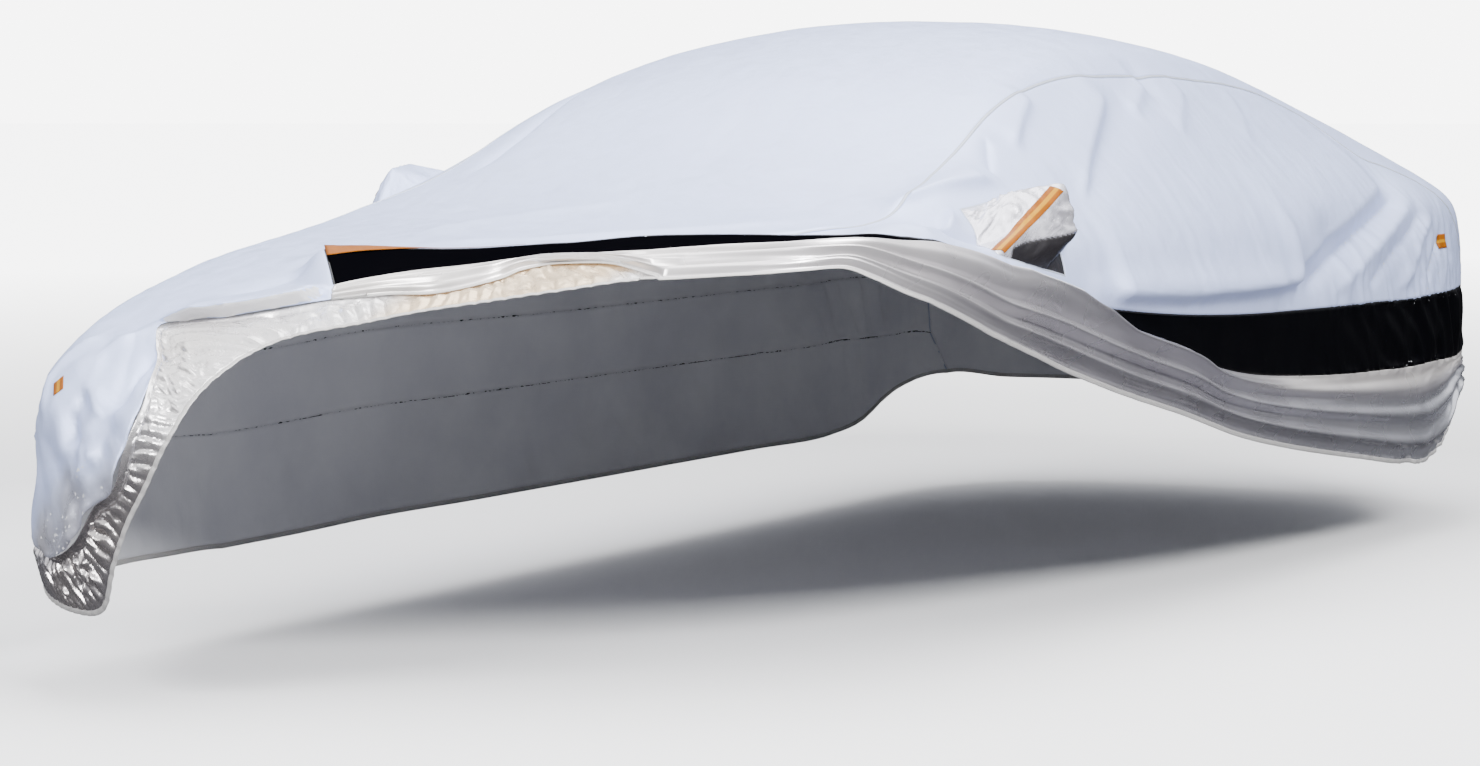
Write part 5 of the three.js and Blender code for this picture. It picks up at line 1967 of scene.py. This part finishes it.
@dataclass(frozen=True)
class ReflectiveTab:
    """A short piece of striped tape sewn flat on the cloth."""

    name: str
    node: str
    across: float
    along: float
    length: float
    width: float
    turn: float  # degrees from level to the tape's length
    lift: float = 1.2
    thickness: float = 1.0

    def build(self, finishes: Finishes) -> Piece:
        """Makes the tab.

        Args:
            finishes: the cover's materials.

        Returns:
            The tab.
        """
        u, v = np.meshgrid(
            np.linspace(-0.5, 0.5, 13) * self.length, np.linspace(-0.5, 0.5, 9) * self.width,
            indexing="ij",
        )
        turn = math.radians(self.turn)
        here = np.array([[self.across, self.along, 0.0]])
        centre = CAR.point(here[:, 0], here[:, 1])[0]
        normal = CAR.normal(here[:, 0], here[:, 1])[0]
        level = unit(np.cross([0, 0, 1], normal))
        rise = np.cross(normal, level)
        # the chart directions that run level and up at the tab
        step = 5.0
        to_x = (CAR.point(here[:, 0] + step, here[:, 1])[0] - centre) / step
        to_y = (CAR.point(here[:, 0], here[:, 1] + step)[0] - centre) / step
        frame_xy = np.array([[to_x @ level, to_y @ level], [to_x @ rise, to_y @ rise]])
        plane = np.stack([
            u * math.cos(turn) - v * math.sin(turn), u * math.sin(turn) + v * math.cos(turn)
        ], -1)
        chart = plane @ np.linalg.inv(frame_xy).T + here[0, :2]
        base = edges_at(8).raised(np.concatenate([chart, np.zeros(chart.shape[:-1] + (1,))], -1))
        points, normals = on_cloth(base, self.lift)
        sheet = HungSheet(points, np.stack([u, v], -1), normals)
        piece = sheet_piece(self.name, sheet, self.thickness)
        tape = finishes.tab_tape
        return finished(piece, [self.node], "reflective_orange", tape, tape)


@dataclass(frozen=True)
class BandStrip:
    """The reflective strip along the upper edge of the left band's front end.

    Attributes:
        length, width: its size as its cloth is woven, in millimetres.
        cells: how many of the band's last cells it covers, of all that the band has.
        taper: shares of its length, then of its full depth there.
        overhang: how far it reaches up over the band's edge at the front, as a share.
        behind: share of the band's depth that a row takes at the band's rear end.
    """

    name: str = "band_tape_left"
    length: float = 590.0
    width: float = 14.0
    lift: float = 3.0
    cells: tuple = (4, 34)
    taper: tuple = ((0, 0.5, 1), (0.04, 0.15, 1.3))
    overhang: float = 0.1
    behind: float = 0.25

    def build(self, finishes: Finishes) -> Piece:
        """Makes the strip.

        Args:
            finishes: the cover's materials.

        Returns:
            The strip.
        """
        e = edges_at(SEAM_FINE)
        covered, of_all = self.cells
        last = covered * SEAM_FINE
        top, low = e["band_top_left"][-last - 1 :], e["band_low_left"][-last - 1 :]
        u = np.linspace(0, 1, last + 1)[:, None]
        v = np.linspace(0, 1, 7)[None]
        far = WEDGE_SHARES[1]
        near = self.behind + (far - self.behind) * (1 - covered / of_all)
        depth = (near * (1 - u) + far * u) * np.interp(u, *self.taper) * v
        depth = depth - self.overhang * smoothstep(u, 0.3, 1) * (1 - v)
        grid = top[:, None] * (1 - depth[..., None]) + low[:, None] * depth[..., None]
        points, normals = on_cloth(grid, self.lift)
        chart = np.stack([u * self.length + 0 * v, 0 * u + self.width * v], -1)
        piece = sheet_piece(self.name, HungSheet(points, chart, normals), TAPE)
        tape = finishes.band_tape
        return finished(piece, ["band_strip_left"], "reflective_orange", tape, tape)


# ---- The cover ----
@dataclass
class CarCover:
    """All the pieces of the cover."""

    finishes: Finishes
    pieces: dict = field(default_factory=dict)

    def cloth(
        self, name: str, nodes: Sequence, sheet: HungSheet, slot: str, material: Material
    ) -> None:
        """Adds a sheet of cloth with its pale backing."""
        piece = sheet_piece(name, sheet)
        self.pieces[name] = finished(piece, nodes, slot, material, self.finishes.lining)

    def build(self) -> None:
        """Makes every piece."""
        f = self.finishes
        top = TopPanel().hang()
        parts = [f"top_panel_{part}" for part in ("bonnet", "roof", "boot", "tail")]
        self.cloth("top_panel_cloth", parts, top, "silver_cloth", f.silver)
        hems = {}
        for side in Side:
            word = side.word
            panel = SidePanel(side)
            hung, band, skirt = panel.hang(), Band(side).hang(), Skirt(side).hang()
            skirt_finish = f.skirt if side is Side.LEFT else f.silver
            for part, sheet, slot, finish in (
                ("side_panel", hung, "silver_cloth", f.silver),
                ("band", band, "black_cloth", f.black),
                ("skirt", skirt, "skirt_cloth", skirt_finish),
            ):
                self.cloth(f"{part}_cloth_{word}", [f"{part}_{word}"], sheet, slot, finish)
            hems[side] = (skirt.outer[:, -1], skirt.outer[:, -3], skirt.edge_normal[:, -1])
            self.add_pocket(MirrorPocket(side, hung, panel.fine, panel.rows))
        gather = GatheredEdge().hang()
        edge = "front_gathered_edge"
        self.cloth(f"{edge}_cloth", [edge], gather, "gathered_cloth", f.gathered)
        self.pieces["hem_binding_tape"] = HemBinding().build(
            [
                hems[Side.LEFT],
                (gather.outer[1:, -1], gather.outer[1:, -3], gather.edge_normal[1:, -1]),
                tuple(part[-2::-1] for part in hems[Side.RIGHT]),
                (top.outer[-1, -2:0:-1], top.outer[-3, -2:0:-1], top.edge_normal[-1, -2:0:-1]),
            ],
            f,
        )
        self.add_seams()
        self.add_tapes()

    def add_pocket(self, pocket: MirrorPocket) -> None:
        """Adds a mirror pocket with its gusset, tape and seam.

        Args:
            pocket: the pocket on one side.
        """
        word = pocket.side.word
        f = self.finishes
        finish = f.pocket if pocket.side is Side.LEFT else f.silver
        for part, node, black, slot, material in (
            ("pouch", "pocket", False, "silver_cloth", finish),
            ("pouch_gusset", "gusset", True, "black_cloth", f.gusset),
        ):
            name, nodes = f"mirror_{part}_{word}", [f"mirror_{node}_{word}"]
            self.cloth(name, nodes, pocket.sheet(black), slot, material)
        name = f"mirror_tape_{word}"
        tape = sheet_piece(name, pocket.tape(), TAPE)
        self.pieces[name] = finished(
            tape, [f"mirror_strip_{word}"], "reflective_orange", f.mirror_tape, f.mirror_tape
        )
        name = f"mirror_pouch_seam_{word}"
        seam = FelledSeam(name, width=5.0, height=0.7)
        self.pieces[name] = seam.along(pocket.seam, pocket.seam_normal, f, closed=True)

    def add_seams(self) -> None:
        """Adds the felled seams between the panels."""
        e = edges_at(SEAM_FINE)
        corner = e["corner_left"][::-1]
        tail = join(e["band_end_left"], e["skirt_end_left"])
        for name, edge in (
            ("roof_seam_left", join(corner, e["seam_left"], e["panel_tip"])),
            ("roof_seam_right", join(mirrored(corner), e["seam_right"], e["nose_side"])),
            ("tail_seam_left", tail),
            ("tail_seam_right", mirrored(tail)),
            ("band_seam_upper_right", e["band_top_right"]),
            ("band_seam_lower_right", e["band_low_right"]),
            ("band_seam_upper_left", e["band_top_left"]),
            ("band_seam_end_left", join(e["wedge_end"], e["fold_end"][:1])),
        ):
            black = name.startswith("band")
            seam = FelledSeam(name, True, 5.0, 0.6) if black else FelledSeam(name)
            self.pieces[name] = seam.build(edge, self.finishes)

    def add_tapes(self) -> None:
        """Adds the reflective strip on the band's front end and the two tabs."""
        for tape in (
            BandStrip(),
            ReflectiveTab("front_tab_tape", "reflective_tab_front", -700, -2310, 44, 28, -40),
            ReflectiveTab("rear_tab_tape", "reflective_tab_rear", 1080, 1708, 52, 40, 0, 4.0),
        ):
            self.pieces[tape.name] = tape.build(self.finishes)

    def declare(self) -> None:
        """Looks up the pieces that each cut sheet carries."""
        for name, cut in CUTS.items():
            [self.pieces[piece] for piece in cut.with_pieces]


@dataclass(frozen=True)
class Cut:
    """How a sheet was cut: its flat width and length in metres, its area, and what it carries."""

    flat: tuple
    held: str = "draped"
    area: Optional[float] = None
    with_pieces: tuple = ()


CUTS = {
    "top_panel_cloth": Cut(
        (3.0, 6.3), area=9.6,
        with_pieces=("hem_binding_tape", "tail_seam_left", "tail_seam_right", "front_tab_tape"),
    ),
    "side_panel_cloth_left": Cut(
        (0.75, 3.95), area=1.55,
        with_pieces=("roof_seam_left", "mirror_pouch_seam_left", "rear_tab_tape"),
    ),
    "side_panel_cloth_right": Cut(
        (0.75, 4.4), area=2.1, with_pieces=("roof_seam_right", "mirror_pouch_seam_right"),
    ),
    "band_cloth_left": Cut(
        (0.24, 4.6), area=0.55,
        with_pieces=("band_seam_upper_left", "band_seam_end_left", "band_tape_left"),
    ),
    "band_cloth_right": Cut(
        (0.2, 4.5), area=0.85, with_pieces=("band_seam_upper_right", "band_seam_lower_right")
    ),
    "skirt_cloth_left": Cut((0.3, 4.7), area=1.0),
    "skirt_cloth_right": Cut((0.3, 4.5), area=1.2),
    "front_gathered_edge_cloth": Cut((0.3, 3.4), held="gathered", area=0.4),
    "mirror_pouch_left": Cut((0.3, 0.42), area=0.1, with_pieces=("mirror_tape_left",)),
    "mirror_pouch_right": Cut((0.3, 0.42), area=0.1, with_pieces=("mirror_tape_right",)),
    "mirror_pouch_gusset_left": Cut((0.14, 0.26), area=0.021),
    "mirror_pouch_gusset_right": Cut((0.14, 0.26), area=0.021),
}


# ---- Studio ----
# Colours of the surroundings by height. Shiny cloth mirrors bright softboxes part of the
# way up, with greyer gaps between them.
SKY_FOR_MATT_CLOTH = (
    (0.0, "#4a4a4c"), (0.1, "#6a6a6d"), (0.5, "#b4b7be"), (0.62, "#d4d7dd"), (0.95, "#ffffff"),
)
SKY_FOR_SHINY_CLOTH = (
    (0.0, "#303032"), (0.25, "#4c4e53"), (0.42, "#9a9ca2"), (0.58, "#ffffff"),
    (0.82, "#f4f6fa"), (0.9, "#85878d"), (1.0, "#a4a6ac"),
)


@dataclass(frozen=True)
class StudioCamera:
    """Camera in front of the car's left headlight, a little above the mirrors' height."""

    azimuth: float = 31.513
    elevation: float = 4.976
    roll: float = -0.582
    focal_pixels: float = 3704.6
    image_width: int = 1480
    sensor: float = 36.0
    place: tuple = (4.738, -8.32, 1.358)

    def build(self) -> None:
        """Makes the camera and the scene's view through it."""
        azimuth, elevation = math.radians(self.azimuth), math.radians(self.elevation)
        forward = Vector((
            -math.sin(azimuth) * math.cos(elevation),
            math.cos(azimuth) * math.cos(elevation),
            -math.sin(elevation),
        ))
        level = forward.cross(Vector((0, 0, 1))).normalized()
        upright = level.cross(forward)
        roll = math.radians(self.roll)
        right = level * math.cos(roll) + upright * math.sin(roll)
        up = upright * math.cos(roll) - level * math.sin(roll)
        turned = Matrix((right, up, -forward)).transposed().to_4x4()
        data = bpy.data.cameras.new("studio_camera")
        data.sensor_width = self.sensor
        data.lens = self.focal_pixels / self.image_width * self.sensor
        data.clip_end = 100
        camera = bpy.data.objects.new("studio_camera", data)
        x, y, height = self.place
        camera.matrix_world = Matrix.Translation((x, y, height + GROUND * MM)) @ turned
        bpy.context.scene.collection.objects.link(camera)
        bpy.context.scene.camera = camera


@dataclass(frozen=True)
class Softbox:
    """A rectangular studio light."""

    name: str
    place: tuple
    target: tuple
    size: tuple
    power: float

    def build(self) -> None:
        """Makes the light, which is white."""
        data = bpy.data.lights.new(self.name, "AREA")
        data.shape = "RECTANGLE"
        data.size, data.size_y = self.size
        data.energy = self.power
        light = bpy.data.objects.new(self.name, data)
        light.location = self.place
        aim = Vector(self.target) - Vector(self.place)
        light.rotation_euler = aim.to_track_quat("-Z", "Y").to_euler()
        bpy.context.scene.collection.objects.link(light)


@dataclass(frozen=True)
class StudioFloor:
    """Plain pale studio floor at the ground's height, with its reach in metres."""

    reach: float = 60.0

    def build(self) -> None:
        """Makes the floor."""
        mesh = bpy.data.meshes.new("studio_floor")
        corners = [
            (x * self.reach, y * self.reach, GROUND * MM)
            for x, y in ((-1, -1), (1, -1), (1, 1), (-1, 1))
        ]
        mesh.from_pydata(corners, [], [(0, 1, 2, 3)])
        floor = bpy.data.objects.new("studio_floor", mesh)
        bpy.context.scene.collection.objects.link(floor)
        mesh.materials.append(self.material())

    @staticmethod
    def material() -> Material:
        """Matt white board that throws little light back up.

        Returns:
            The material.
        """
        sheet = new_material("matt_white_floor")
        place = sheet.add("TexCoord", out="Object")
        grain = sheet.add("TexNoise", {"Vector": place, "Scale": 0.8, "Detail": 2.0}, "Fac")
        board = sheet.add("ValToRGB", (grain,), "Color", [(0.3, "#f4f4f6"), (0.7, "#f7f7f8")])
        seen = sheet.add("BsdfPrincipled", {"Base Color": board, "Roughness": 0.9}, "BSDF")
        # far from the cover it is lit as brightly as the white surroundings
        distance = sheet.add("VectorMath", (place,), "Value", operation="LENGTH")
        glow = sheet.add("MapRange", (distance, 4.0, 16.0, 0.0, 5.5), "Result")
        lit = sheet.add("Emission", {"Color": linear("#ffffff"), "Strength": glow}, 0)
        bright = sheet.add("AddShader", (seen, lit), 0)
        # it throws little light back up, as the dark car that is left out would
        rays = sheet.add("LightPath").outputs
        dark = sheet.add(
            "Mix",
            {0: rays["Is Glossy Ray"], 6: linear("#86868a"), 7: linear("#2e2e31")}, 2,
            data_type="RGBA",
        )
        shaded = sheet.add("BsdfDiffuse", {"Color": dark}, 0)
        mix = sheet.add("MixShader", (rays["Is Camera Ray"], shaded, bright), 0)
        sheet.add("OutputMaterial", {"Surface": mix})
        return sheet.owner


def build_sky() -> None:
    """White surroundings, greyer towards the horizon where the cloth mirrors them."""
    world = bpy.data.worlds.new("studio")
    bpy.context.scene.world = world
    world.use_nodes = True
    world.node_tree.nodes.clear()
    sheet = NodeSheet(world)
    place = sheet.add("TexCoord", out="Generated")
    height = sheet.add("SeparateXYZ", (place,), "Z")
    rays = sheet.add("LightPath").outputs
    lit = sheet.add("ValToRGB", (height,), "Color", SKY_FOR_MATT_CLOTH)
    glossy = sheet.add("ValToRGB", (height,), "Color", SKY_FOR_SHINY_CLOTH)
    shade = sheet.add("Mix", {0: rays["Is Glossy Ray"], 6: lit, 7: glossy}, 2, data_type="RGBA")
    strength = sheet.add("MapRange", (rays["Is Glossy Ray"], 0.0, 1.0, 1.4, 2.1), "Result")
    around = sheet.add("Background", {"Color": shade, "Strength": strength}, 0)
    seen = sheet.add("Background", {"Color": linear("#ffffff"), "Strength": 7.0}, 0)
    mix = sheet.add("MixShader", (rays["Is Camera Ray"], around, seen), 0)
    sheet.add("OutputWorld", {"Surface": mix})


def main() -> None:
    """Builds the cover and the studio."""
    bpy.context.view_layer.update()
    StudioCamera().build()
    cover = CarCover(Finishes())
    cover.build()
    cover.declare()
    StudioFloor().build()
    build_sky()
    for light in (
        Softbox("overhead_softbox", (0.5, -0.5, 4.2), (0, 0, 0), (5, 7), 650),
        Softbox("front_softbox", (-2.0, -8.5, 3.2), (-0.5, -1.5, -0.8), (3, 2), 600),
        Softbox("near_side_softbox", (7.0, -4.5, 4.2), (0.6, 0, -0.6), (4, 2), 1650),
    ):
        light.build()
    faces = sum(len(piece.data.polygons) for piece in cover.pieces.values())
    log.info("%d pieces, %d faces in all", len(cover.pieces), faces)
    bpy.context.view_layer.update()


if __name__ == "__main__":
    main()
